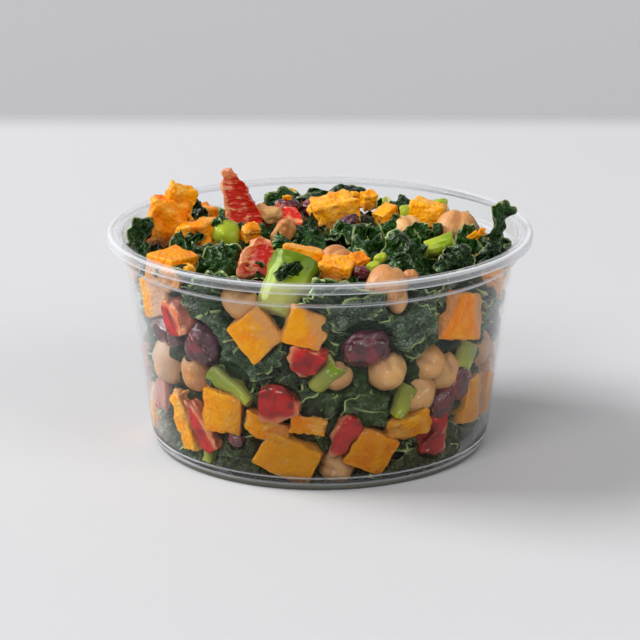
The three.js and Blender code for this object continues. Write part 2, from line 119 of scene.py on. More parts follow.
def turn_about(axis: int, degrees: float) -> np.ndarray:
    """Returns the matrix that turns points by degrees about the X, Y or Z axis (0, 1 or 2)."""
    angle = math.radians(degrees)
    matrix = np.eye(3)
    first, second = (axis + 1) % 3, (axis + 2) % 3
    matrix[first, first] = matrix[second, second] = math.cos(angle)
    matrix[first, second], matrix[second, first] = -math.sin(angle), math.sin(angle)
    return matrix


def turned(turns: Triple) -> np.ndarray:
    """Returns the matrix of a piece turned about its own X, Y and Z, in degrees."""
    return turn_about(0, turns[0]) @ turn_about(1, turns[1]) @ turn_about(2, turns[2])


# ---------------------------------------------------------------- surfaces


@dataclass
class Surface:
    """A mesh as arrays.

    Fields:
        points: the vertices, in millimetres.
        quads: four vertex numbers for each four-sided face.
        triangles: three vertex numbers for each three-sided face.
        values: numbers or vectors that belong to each vertex, by name.
    """

    points: np.ndarray
    quads: np.ndarray
    triangles: np.ndarray = field(default_factory=lambda: np.zeros((0, 3), int))
    values: dict[str, np.ndarray] = field(default_factory=dict)

    def moved(self, points: np.ndarray) -> "Surface":
        """Returns the same faces and values on other points."""
        return Surface(points, self.quads, self.triangles, self.values)

    def with_value(self, name: str, number: float) -> "Surface":
        """Returns the surface with one number given to every vertex under a name."""
        values = {**self.values, name: np.full(len(self.points), number)}
        return Surface(self.points, self.quads, self.triangles, values)


def joined(surfaces: Sequence[Surface]) -> Surface:
    """Puts surfaces into one, with their faces' vertex numbers moved up.

    Args:
        surfaces: surfaces that carry the same values.

    Returns:
        One surface that holds them all.
    """
    starts = np.cumsum([0] + [len(surface.points) for surface in surfaces[:-1]])
    names = surfaces[0].values
    return Surface(
        np.concatenate([surface.points for surface in surfaces]),
        np.concatenate([surface.quads + start for surface, start in zip(surfaces, starts)]),
        np.concatenate([surface.triangles + start for surface, start in zip(surfaces, starts)]),
        {name: np.concatenate([surface.values[name] for surface in surfaces]) for name in names},
    )


def grid_quads(rows: int, columns: int, wrap: bool = False) -> np.ndarray:
    """Faces of a grid whose vertex (i, j) has the number i times columns plus j.

    Args:
        rows: vertices along the first direction.
        columns: vertices along the second direction.
        wrap: whether the last column joins the first.

    Returns:
        The quads, which face the way of first direction cross second direction.
    """
    across = np.arange(columns if wrap else columns - 1)
    i, j = np.meshgrid(np.arange(rows - 1) * columns, across, indexing="ij")
    right = (j + 1) % columns
    corners = [i + j, i + columns + j, i + columns + right, i + right]
    return np.stack(corners, -1).reshape(-1, 4)


def box_shell(lines: np.ndarray) -> Surface:
    """The skin of the cube from -1 to 1, with each side cut along the same lines.

    Args:
        lines: where the cuts lie, from -1 to 1.

    Returns:
        A closed surface whose faces point outwards.
    """
    first, second = (part.ravel() for part in np.meshgrid(lines, lines, indexing="ij"))
    quads = grid_quads(len(lines), len(lines))
    sides = []
    for axis in range(3):
        for sign in (1.0, -1.0):
            side = np.empty((first.size, 3))
            side[:, axis] = sign
            side[:, (axis + 1) % 3] = first * sign
            side[:, (axis + 2) % 3] = second
            sides.append(side)
    loose = np.round(np.concatenate(sides), 9)
    points, number = np.unique(loose, axis=0, return_inverse=True)
    faces = np.concatenate([quads + first.size * side for side in range(6)])
    return Surface(points, number.reshape(-1)[faces])


def ball(cells: int) -> Surface:
    """Returns a ball of radius 1, the cube's skin cut into cells and blown up."""
    cube = box_shell(np.linspace(-1, 1, cells + 1))
    return cube.moved(cube.points / np.linalg.norm(cube.points, axis=1)[:, None])


def softened(points: np.ndarray, rounding: float) -> np.ndarray:
    """Rounds the edges of the cube from -1 to 1.

    Each point moves to the given distance from the box that lies that far inside the cube.

    Args:
        points: places on the cube's skin.
        rounding: the distance.

    Returns:
        The moved points.
    """
    inner = np.clip(points, rounding - 1, 1 - rounding)
    away = points - inner
    return inner + rounding * away / np.maximum(np.linalg.norm(away, axis=1), TINY)[:, None]


def upright(rise: np.ndarray) -> np.ndarray:
    """Returns vectors along Z of the given lengths."""
    return rise[:, None] * np.array([0.0, 0.0, 1.0])


def eased_lines(cells: int, ease: float = 1.0) -> np.ndarray:
    """Returns cuts from -1 to 1 that crowd towards the ends, as the sine of even steps does."""
    even = np.linspace(-1, 1, cells + 1)
    return (1 - ease) * even + ease * np.sin(even * math.pi / 2)


def fan(first: int, spokes: int, hub: int) -> np.ndarray:
    """Triangles between a ring of vertices and a hub.

    Args:
        first: number of the ring's first vertex.
        spokes: vertices in the ring.
        hub: number of the hub's vertex.

    Returns:
        Each row is a vertex of the ring, the next one and the hub.
    """
    step = np.arange(spokes)
    return np.stack([first + step, first + (step + 1) % spokes, np.full(spokes, hub)], 1)


def capped(rings: int, spokes: int) -> tuple[np.ndarray, np.ndarray]:
    """Faces of a stack of rings that is closed by two hubs, numbered after all the rings.

    Args:
        rings: how many rings there are, from the lowest up.
        spokes: vertices in each ring.

    Returns:
        The quads between the rings, and the triangles round the low and then the high hub.
    """
    count = rings * spokes
    low = fan(0, spokes, count)[:, [1, 0, 2]]
    high = fan(count - spokes, spokes, count + 1)
    return grid_quads(rings, spokes, wrap=True)[:, ::-1], np.concatenate([low, high])


def lathe(profile: np.ndarray, segments: int) -> Surface:
    """Turns a profile that starts and ends on the axis round Z.

    Args:
        profile: radius and height of each point, going out along the bottom, up the outside,
            over the top and back to the axis.
        segments: number of steps round the axis.

    Returns:
        A closed surface with one vertex at each pole.
    """
    rings = profile[1:-1]
    angle = np.arange(segments) * TURN / segments
    spun = np.empty((len(rings), segments, 3))
    spun[..., 0] = rings[:, :1] * np.cos(angle)
    spun[..., 1] = rings[:, :1] * np.sin(angle)
    spun[..., 2] = rings[:, 1:]
    poles = np.array([[0, 0, profile[0, 1]], [0, 0, profile[-1, 1]]])
    points = np.concatenate([spun.reshape(-1, 3), poles])
    return Surface(points, *capped(len(rings), segments))


def filleted(corners: Sequence[tuple[float, float, float]], steps: int = 5) -> np.ndarray:
    """Rounds each corner of an open outline with an arc that touches both its sides.

    Args:
        corners: radius, height and rounding of each corner.
        steps: pieces in each arc.

    Returns:
        The outline's points.
    """
    places = np.array(corners, float)
    outline = [places[0, :2]]
    for before, here, after in zip(places[:-2], places[1:-1], places[2:]):
        back, ahead = before[:2] - here[:2], after[:2] - here[:2]
        reach_back, reach_ahead = np.linalg.norm(back), np.linalg.norm(ahead)
        reach = min(here[2], 0.45 * reach_back, 0.45 * reach_ahead)
        if reach <= 0:
            outline.append(here[:2])
            continue
        start = here[:2] + back / reach_back * reach
        end = here[:2] + ahead / reach_ahead * reach
        share = np.linspace(0, 1, steps + 1)[:, None]
        middle = 2 * share * (1 - share) * here[:2]
        outline.extend((1 - share) ** 2 * start + middle + share**2 * end)
    outline.append(places[-1, :2])
    return np.array(outline)


def finer(outline: np.ndarray, step: float) -> np.ndarray:
    """Cuts the long stretches of an outline, closely near their ends and coarsely between.

    Args:
        outline: its points.
        step: length of the cuts next to a stretch's ends.

    Returns:
        The outline with more points.
    """
    parts = []
    for start, end in zip(outline[:-1], outline[1:]):
        length = np.linalg.norm(end - start)
        count = max(1, int(round(min(length / step, 8 + length / 3))))
        share = np.arange(count) / count
        if count > 8:
            share = (1 - np.cos(np.linspace(0, math.pi, count + 1)[:-1])) / 2
        parts.append(start + share[:, None] * (end - start))
    return np.concatenate(parts + [outline[-1:]])


def add_object(name: str, surface: Surface, material: bpy.types.Material) -> bpy.types.Object:
    """Makes a smooth-shaded mesh object at the origin from a surface.

    Args:
        name: the object's name.
        surface: its faces, with points in millimetres.
        material: its finish.

    Returns:
        The object, linked to the scene.
    """
    mesh = bpy.data.meshes.new(name)
    numbers = np.concatenate([surface.quads.ravel(), surface.triangles.ravel()])
    sides = np.repeat([4, 3], [len(surface.quads), len(surface.triangles)])
    mesh.vertices.add(len(surface.points))
    mesh.vertices.foreach_set("co", (surface.points * MM).astype(np.float32).ravel())
    mesh.loops.add(len(numbers))
    mesh.loops.foreach_set("vertex_index", numbers.astype(np.int32))
    mesh.polygons.add(len(sides))
    mesh.polygons.foreach_set("loop_start", (np.cumsum(sides) - sides).astype(np.int32))
    mesh.polygons.foreach_set("use_smooth", np.ones(len(sides), bool))
    mesh.update(calc_edges=True)
    for value_name, value in surface.values.items():
        is_vector = value.ndim == 2
        kind = "FLOAT_VECTOR" if is_vector else "FLOAT"
        attribute = mesh.attributes.new(value_name, kind, "POINT")
        field_name = "vector" if is_vector else "value"
        attribute.data.foreach_set(field_name, value.astype(np.float32).ravel())
    mesh.materials.append(material)
    thing = bpy.data.objects.new(name, mesh)
    bpy.context.scene.collection.objects.link(thing)
    return thing


# ---------------------------------------------------------------- shader maths


def feed(tree: bpy.types.NodeTree, slot: bpy.types.NodeSocket, value: object) -> None:
    """Links a wire to an input, or gives the input a plain value.

    Args:
        tree: the material's nodes.
        slot: the input.
        value: a wire, a number or a tuple of numbers.
    """
    if isinstance(value, Wire):
        tree.links.new(value.socket, slot)
    else:
        slot.default_value = value


class Wire:
    """An output socket on which Python's operators add Math nodes."""

    def __init__(self, tree: bpy.types.NodeTree, socket: bpy.types.NodeSocket) -> None:
        """Wraps a socket of a tree."""
        self.tree = tree
        self.socket = socket

    def _math(self, operation: str, *operands: "Wire | float") -> "Wire":
        """Adds a Math node.

        Args:
            operation: the Math node's operation.
            operands: wires or plain numbers, in order.

        Returns:
            The node's result.
        """
        node = self.tree.nodes.new("ShaderNodeMath")
        node.operation = operation
        for slot, operand in zip(node.inputs, operands):
            feed(self.tree, slot, operand)
        return Wire(self.tree, node.outputs[0])

    def __add__(self, other: "Wire | float") -> "Wire":
        """Returns self plus other."""
        return self._math("ADD", self, other)

    def __sub__(self, other: "Wire | float") -> "Wire":
        """Returns self less other."""
        return self._math("SUBTRACT", self, other)

    def __rsub__(self, other: float) -> "Wire":
        """Returns other less self."""
        return self._math("SUBTRACT", other, self)

    def __mul__(self, other: "Wire | float") -> "Wire":
        """Returns self times other."""
        return self._math("MULTIPLY", self, other)

    def __truediv__(self, other: "Wire | float") -> "Wire":
        """Returns self over other."""
        return self._math("DIVIDE", self, other)

    def __pow__(self, other: float) -> "Wire":
        """Returns self to the power of other."""
        return self._math("POWER", self, other)

    __radd__ = __add__
    __rmul__ = __mul__

    def absolute(self) -> "Wire":
        """Returns self without its sign."""
        return self._math("ABSOLUTE", self)

    def sine(self) -> "Wire":
        """Returns the sine of self in radians."""
        return self._math("SINE", self)

    def exponential(self) -> "Wire":
        """Returns e to the power of self."""
        return self._math("EXPONENT", self)

    def step(self, low: float, high: float) -> "Wire":
        """Returns 0 below low, 1 above high and a smooth rise between them."""
        node = self.tree.nodes.new("ShaderNodeMapRange")
        node.interpolation_type = "SMOOTHSTEP"
        node.inputs["From Min"].default_value = low
        node.inputs["From Max"].default_value = high
        self.tree.links.new(self.socket, node.inputs["Value"])
        return Wire(self.tree, node.outputs["Result"])


class Paint:
    """One material's node tree, with short ways to add what the finishes use."""

    def __init__(self, name: str) -> None:
        """Starts an empty material.

        Args:
            name: the material's name.
        """
        self.material = bpy.data.materials.new(name)
        self.material.use_nodes = True
        self.tree = self.material.node_tree
        self.tree.nodes.clear()

    def node(
        self,
        kind: str,
        settings: dict[str, object] | None = None,
        output: int | str = 0,
        **sockets: "Wire | float | tuple[float, ...]",
    ) -> Wire:
        """Adds any node.

        Args:
            kind: the node's type.
            settings: properties that are set before the sockets.
            output: which output is returned.
            sockets: value or wire of each input, with _ for a space in its name.

        Returns:
            The chosen output.
        """
        node = self.tree.nodes.new(kind)
        for key, value in (settings or {}).items():
            setattr(node, key, value)
        for key, value in sockets.items():
            slot = next(s for s in node.inputs if s.name.replace(" ", "_") == key and s.enabled)
            feed(self.tree, slot, value)
        return Wire(self.tree, node.outputs[output])

    def place(self) -> Wire:
        """Returns the object coordinates in millimetres."""
        return self.scaled(self.node("ShaderNodeTexCoord", output="Object"), (1 / MM,) * 3)

    def vector_math(self, operation: str, first: Wire, second: Wire | Triple) -> Wire:
        """Adds a Vector Math node.

        Args:
            operation: the node's operation.
            first: a vector.
            second: a vector, or a number that stands for each of its parts.

        Returns:
            The node's vector.
        """
        node = self.tree.nodes.new("ShaderNodeVectorMath")
        node.operation = operation
        feed(self.tree, node.inputs[0], first)
        feed(self.tree, node.inputs[1], second)
        return Wire(self.tree, node.outputs[0])

    def scaled(self, vector: Wire, scale: Triple) -> Wire:
        """Returns a vector with each part multiplied."""
        return self.vector_math("MULTIPLY", vector, scale)

    def shifted(self, vector: Wire, amount: Wire) -> Wire:
        """Returns a vector with one number added to each of its parts."""
        return self.vector_math("ADD", vector, amount)

    def value(self, name: str) -> Wire:
        """Returns a number stored on the vertices."""
        return self.node("ShaderNodeAttribute", {"attribute_name": name}, "Fac")

    def vector(self, name: str) -> Wire:
        """Returns a vector stored on the vertices."""
        return self.node("ShaderNodeAttribute", {"attribute_name": name}, "Vector")

    def parts(self, vector: Wire) -> tuple[Wire, Wire, Wire]:
        """Returns the X, Y and Z of a vector."""
        node = self.tree.nodes.new("ShaderNodeSeparateXYZ")
        self.tree.links.new(vector.socket, node.inputs[0])
        return tuple(Wire(self.tree, output) for output in node.outputs)

    def noise(self, where: Wire, scale: float, detail: float = 3.0, roughness: float = 0.5) -> Wire:
        """Returns fractal noise from 0 to 1."""
        return self.node(
            "ShaderNodeTexNoise", Vector=where, Scale=scale, Detail=detail, Roughness=roughness
        )

    def cells(self, where: Wire, scale: float, feature: str = "DISTANCE_TO_EDGE") -> Wire:
        """Returns the distance to the nearest edge, or centre, of scattered cells."""
        return self.node(
            "ShaderNodeTexVoronoi", {"feature": feature}, "Distance", Vector=where, Scale=scale
        )

    def mixed(self, share: Wire | float, first: Wire | Triple, second: Wire | Triple) -> Wire:
        """Returns a colour between two others.

        Args:
            share: 0 for the first colour, 1 for the second.
            first: a wire or a colour.
            second: a wire or a colour.

        Returns:
            The mixed colour.
        """
        node = self.tree.nodes.new("ShaderNodeMix")
        node.data_type = "RGBA"
        slots = (node.inputs[0], node.inputs[6], node.inputs[7])
        for slot, value in zip(slots, (share, first, second)):
            feed(self.tree, slot, (*value, 1.0) if isinstance(value, tuple) else value)
        return Wire(self.tree, node.outputs[2])

    def bump(self, height: Wire, depth_mm: float, strength: float = 1.0) -> Wire:
        """Returns a normal that makes a height from 0 to 1 stand as deep as given."""
        return self.node("ShaderNodeBump", Height=height, Distance=depth_mm * MM, Strength=strength)

    def principled(self, **sockets: "Wire | float | tuple[float, ...]") -> bpy.types.Material:
        """Returns the material with a Principled shader that has the given sockets set."""
        return self.finished(self.node("ShaderNodeBsdfPrincipled", **sockets))

    def blended(self, share: Wire | float, first: Wire, second: Wire) -> Wire:
        """Returns a Mix Shader of two shaders."""
        node = self.tree.nodes.new("ShaderNodeMixShader")
        for slot, value in zip(node.inputs, (share, first, second)):
            feed(self.tree, slot, value)
        return Wire(self.tree, node.outputs[0])

    def finished(self, shader: Wire) -> bpy.types.Material:
        """Links a shader to the surface and returns the material."""
        output = self.tree.nodes.new("ShaderNodeOutputMaterial")
        self.tree.links.new(shader.socket, output.inputs["Surface"])
        return self.material


# ---------------------------------------------------------------- finishes


@dataclass(frozen=True)
class KaleFinish:
    """Crinkled, nearly black-green leaf with thin paler veins and margins, wet with dressing, with
    painted shade in its creases and painted highlight on its margins.
    """

    deep: Triple = (0.0012, 0.006, 0.0015)
    fresh: Triple = (0.012, 0.058, 0.004)
    vein: Triple = (0.05, 0.15, 0.02)
    margin: Triple = (0.42, 0.52, 0.20)
    film: Triple = (0.21, 0.245, 0.195)
    roughness: float = 0.12
    blister_mm: float = 0.8

    def material(self) -> bpy.types.Material:
        """Returns the material: veins are the edges of scattered cells on the flat leaf."""
        paint = Paint("kale_leaf")
        leaf = paint.vector("leaf")
        across, _, edge = paint.parts(leaf)
        tint = paint.value("tint")
        flat = paint.shifted(leaf, tint * 90.0)
        cell = paint.cells(flat, 0.42)
        fine = paint.cells(flat, 1.1)
        blotch = paint.noise(flat, 0.25)
        ribbed_leaf = tint.step(0.6, 0.64) * (1.0 - edge.step(0.25, 0.75))
        rib = (1.0 - across.absolute().step(0.12, 0.42)) * ribbed_leaf
        veins = 1.0 - cell.step(0.0, 0.055)
        hair = 1.0 - fine.step(0.0, 0.08)
        leafy = paint.mixed((tint * 0.7 + blotch * 0.5).step(0.25, 1.0), self.deep, self.fresh)
        wet = (blotch + fine * 0.6).step(0.5, 0.85)
        pressed = CUP.filmed(paint, leafy, self.film, wet * 1.1 + 0.25, pressed=True)
        # painted shade: darker towards the deep colour along the fine cell edges, the valleys of
        # the blistered leaf
        crease_shaded = paint.mixed((1.0 - fine.step(0.0, 0.2)) * 0.45, pressed, self.deep)
        veined = paint.mixed(veins * 0.4 + hair * 0.05, crease_shaded, self.vein)
        ribbed = paint.mixed(rib * 0.6, veined, self.margin)
        # pale margin: partly the leaf's paler cut edge, partly painted highlight where the curly
        # margin catches the light
        pale_lit_edge = edge.step(0.92, 0.985) * (0.3 + 0.7 * blotch.step(0.42, 0.54))
        edged = paint.mixed(pale_lit_edge, ribbed, self.margin)
        height = cell.step(0.0, 0.5) + fine * 0.5 + blotch * 0.4
        return paint.principled(
            Base_Color=edged,
            Roughness=self.roughness + blotch * 0.16,
            Normal=paint.bump(height, self.blister_mm),
            Specular_IOR_Level=0.3,
            Specular_Tint=(0.5, 0.8, 0.35, 1.0),
            Coat_Weight=0.2,
            Coat_Roughness=0.03,
        )


@dataclass(frozen=True)
class SquashFinish:
    """Cooked butternut flesh: bright orange, faintly fibrous and moist."""

    bright: Triple = (0.96, 0.39, 0.003)
    deep: Triple = (0.88, 0.22, 0.002)
    pale: Triple = (1.0, 0.58, 0.10)
    film: Triple = (0.70, 0.33, 0.135)

    def material(self) -> bpy.types.Material:
        """Returns the material: broad blotches, with short fibres in the bump."""
        paint = Paint("squash_flesh")
        where = paint.place()
        tint = paint.value("tint")
        blotch = paint.noise(where, 0.16, 4.0)
        fibre = paint.noise(paint.scaled(where, (1.0, 0.35, 0.6)), 1.1, 4.0, 0.6)
        pits = paint.cells(where, 0.9, "F1")
        second_colour_share = paint.value("second_colour_share")
        flesh = paint.mixed((blotch * 1.3 + tint * 0.5).step(0.5, 1.15), self.deep, self.bright)
        colour = paint.mixed(second_colour_share * 0.55 + (fibre - 0.45) * 0.4, flesh, self.pale)
        return paint.principled(
            Base_Color=CUP.filmed(paint, colour, self.film, 0.85, 0.15),
            Roughness=0.24 + fibre * 0.2,
            Normal=paint.bump(fibre + pits * 0.6 + blotch * 0.5, 0.6),
            Subsurface_Weight=0.18,
            Subsurface_Radius=(0.004, 0.0016, 0.0005),
            Subsurface_Scale=1.0,
            Specular_IOR_Level=0.15,
            Specular_Tint=(1.0, 0.5, 0.1, 1.0),
            Coat_Weight=0.22,
            Coat_Roughness=0.04,
        )


@dataclass(frozen=True)
class ChickpeaFinish:
    """Beige skin, a little darker in the cleft."""

    skin: Triple = (0.53, 0.20, 0.054)
    pale: Triple = (0.80, 0.44, 0.155)
    cleft: Triple = (0.40, 0.15, 0.04)
    film: Triple = (0.46, 0.235, 0.105)

    def material(self) -> bpy.types.Material:
        """Returns the material: soft mottling with fine wrinkles."""
        paint = Paint("chickpea_skin")
        where = paint.place()
        mottle = paint.noise(where, 0.3, 4.0)
        wrinkle = paint.noise(where, 1.4, 3.0)
        paler = (mottle * 0.8 + paint.value("tint") * 0.5).step(0.3, 1.0)
        skin = paint.mixed(paler, self.skin, self.pale)
        colour = paint.mixed(paint.value("second_colour_share") * 0.6, skin, self.cleft)
        return paint.principled(
            Base_Color=CUP.filmed(paint, colour, self.film, 0.6, 0.3),
            Roughness=0.34 + mottle * 0.12,
            Normal=paint.bump(wrinkle * 0.8 + mottle, 0.35),
            Subsurface_Weight=0.12,
            Subsurface_Radius=(0.004, 0.002, 0.001),
            Subsurface_Scale=1.0,
        )


@dataclass(frozen=True)
class PepperFinish:
    """Glossy red skin on one side, rosy ribbed flesh on the other."""

    skin: Triple = (0.58, 0.005, 0.003)
    flesh: Triple = (0.66, 0.016, 0.006)
    pith: Triple = (0.95, 0.42, 0.18)
    shaded: Triple = (0.20, 0.003, 0.002)
    film: Triple = (0.37, 0.075, 0.05)

    def material(self) -> bpy.types.Material:
        """Returns the material: a stored mask parts the skin from the flesh."""
        paint = Paint("red_pepper")
        where = paint.place()
        mottle = paint.noise(where, 0.28, 4.0)
        ribs = paint.noise(paint.scaled(where, (0.35, 0.35, 1.0)), 0.9, 3.0)
        inner = paint.value("second_colour_share")
        crinkle = paint.noise(where, 0.8, 3.0)
        ridge = (ribs * 1.1 + mottle * 0.6).step(0.84, 1.02) * 0.85
        flesh = paint.mixed(ridge, self.flesh, self.pith)
        skin = paint.mixed((mottle * 0.7 + crinkle * 0.5).step(0.5, 0.75), self.skin, self.shaded)
        sides = paint.mixed(inner, skin, flesh)
        colour = paint.mixed(paint.value("rim") * (mottle * 1.2), sides, self.pith)
        return paint.principled(
            Base_Color=CUP.filmed(paint, colour, self.film, 0.8, 0.35),
            Roughness=0.14 + inner * 0.1 + mottle * 0.06,
            Specular_IOR_Level=0.25,
            Normal=paint.bump(ribs * inner * 1.4 + mottle * 0.8 + crinkle * 0.6, 0.6),
            Coat_Weight=0.4,
            Coat_Roughness=0.05,
            Subsurface_Weight=0.1,
            Subsurface_Radius=(0.003, 0.0006, 0.0004),
            Subsurface_Scale=1.0,
        )


@dataclass(frozen=True)
class CranberryFinish:
    """Dark wine-red skin with glossy wrinkles."""

    skin: Triple = (0.048, 0.003, 0.008)
    flush: Triple = (0.22, 0.006, 0.017)
    film: Triple = (0.105, 0.026, 0.044)

    def material(self) -> bpy.types.Material:
        """Returns the material: redder patches and a deep wrinkle bump."""
        paint = Paint("dried_cranberry")
        where = paint.place()
        patch = paint.noise(where, 0.25, 3.0)
        wrinkle = paint.noise(paint.scaled(where, (1.0, 0.6, 0.6)), 0.7, 4.0, 0.6)
        skin = paint.mixed(patch.step(0.4, 0.75), self.skin, self.flush)
        return paint.principled(
            Base_Color=CUP.filmed(paint, skin, self.film, 0.9, 0.35),
            Roughness=0.12 + patch * 0.1,
            Normal=paint.bump(wrinkle, 0.9),
            Specular_IOR_Level=0.6,
            Coat_Weight=0.5,
            Coat_Roughness=0.06,
        )


@dataclass(frozen=True)
class StemFinish:
    """Chopped green stalk: lined, bright green outside and pale where it is cut."""

    green: Triple = (0.18, 0.28, 0.008)
    light: Triple = (0.44, 0.50, 0.04)
    cut: Triple = (0.56, 0.60, 0.19)
    dark: Triple = (0.006, 0.035, 0.006)
    film: Triple = (0.34, 0.31, 0.11)

    def material(self) -> bpy.types.Material:
        """Returns the material: stored round-the-stalk angle, length and darkness steer it."""
        paint = Paint("green_stalk")
        round_it, along, shade = paint.parts(paint.vector("stalk"))
        where = paint.place()
        mottle = paint.noise(where, 0.22, 3.0)
        lines = (round_it * 15.0 + mottle * 3.0).sine() * 0.5 + 0.5
        body = paint.mixed((along * 0.8 + mottle * 0.5).step(0.25, 0.95), self.light, self.green)
        lined = paint.mixed(lines * 0.12, body, self.light)
        trimmed = paint.mixed(paint.value("second_colour_share"), lined, self.cut)
        colour = paint.mixed(shade, trimmed, self.dark)
        return paint.principled(
            Base_Color=CUP.filmed(paint, colour, self.film, 1.0, 0.4),
            Roughness=0.24 + mottle * 0.14,
            Normal=paint.bump(lines * 0.25 + mottle * 0.6, 0.25),
            Subsurface_Weight=0.12,
            Subsurface_Radius=(0.0015, 0.0025, 0.0005),
            Subsurface_Scale=1.0,
            Specular_IOR_Level=0.3,
            Specular_Tint=(0.7, 1.0, 0.2, 1.0),
            Coat_Weight=0.15,
            Coat_Roughness=0.08,
        )


@dataclass(frozen=True)
class ClearPlasticFinish:
    """Thin clear plastic: mirror-like outside and faintly milky within the wall."""

    milk: Triple = (0.74, 0.75, 0.785)
    # painted shade: dark colour of the thick foot, for the shadow under the cup
    foot: Triple = (0.105, 0.11, 0.082)
    milkiness: float = 0.022
    gloss_roughness: float = 0.06
    head_on: float = 0.004

    def material(self) -> bpy.types.Material:
        """Returns the material.

        The milk thickens with the slant of the view and with the stored veil, as 1 less e to the
        minus veil over the square of a quarter more than the facing share. In the thick foot it
        takes a dark colour: painted shade for the shadow under the cup, with the dark of the leaves
        that the thick plastic would show. The gloss rises from a small share head-on to all of the
        light at a glancing view, as the fifth power of the slant.
        """
        paint = Paint("clear_plastic")
        slant = paint.node("ShaderNodeLayerWeight", output="Facing", Blend=0.5)
        depth = (paint.value("veil") * -self.milkiness) / ((1.25 - slant) ** 2.0)
        milk = 1.0 - depth.exponential()
        clear = paint.node("ShaderNodeBsdfTransparent", Color=(0.985, 0.99, 0.99, 1.0))
        # in the foot the milk takes the foot colour, painted shade for the shadow under the cup
        colour = paint.mixed(paint.value("foot"), self.milk, self.foot)
        cloud = paint.node("ShaderNodeBsdfDiffuse", Color=colour)
        gloss = paint.node(
            "ShaderNodeBsdfGlossy", Color=(1.0, 1.0, 1.0, 1.0), Roughness=self.gloss_roughness
        )
        mirror = self.head_on + (slant**5) * (1 - self.head_on)
        body = paint.blended(milk, clear, cloud)
        return paint.finished(paint.blended(mirror, body, gloss))


@dataclass(frozen=True)
class StageFinish:
    """Matt pale paper-like surface of the table or the wall behind it.

    Fields:
        name: the material's name.
        colour: its colour.
        far: the colour that it takes on over the last stretch before the far edge; on the table it
            is darker, painted shade that meets the dimmer wall.
        far_from: where that stretch starts along Y, in millimetres.
        far_to: where it ends.
        grain: how much darker the darkest grain is.
        glow: light of its own, for a wall that is lit apart from the table.
    """

    name: str
    colour: Triple
    far: Triple
    far_from: float
    far_to: float
    grain: float = 0.03
    glow: float = 0.0

    def material(self) -> bpy.types.Material:
        """Returns the material: one colour with a faint fine grain and a blend at its far edge."""
        paint = Paint(self.name)
        where = paint.place()
        _, y, _ = paint.parts(where)
        grain = paint.noise(where, 0.35, 5.0, 0.7)
        darker = tuple(part * (1 - self.grain) for part in self.colour)
        near = paint.mixed(grain, darker, self.colour)
        return paint.principled(
            # on the table the far colour is darker: painted shade that meets the dimmer wall
            Base_Color=paint.mixed(y.step(self.far_from, self.far_to), near, self.far),
            Roughness=0.85,
            Normal=paint.bump(grain, 0.12, 0.4),
            Specular_IOR_Level=0.2,
            Emission_Color=(*self.colour, 1.0),
            Emission_Strength=self.glow,
        )


# ---------------------------------------------------------------- the cup


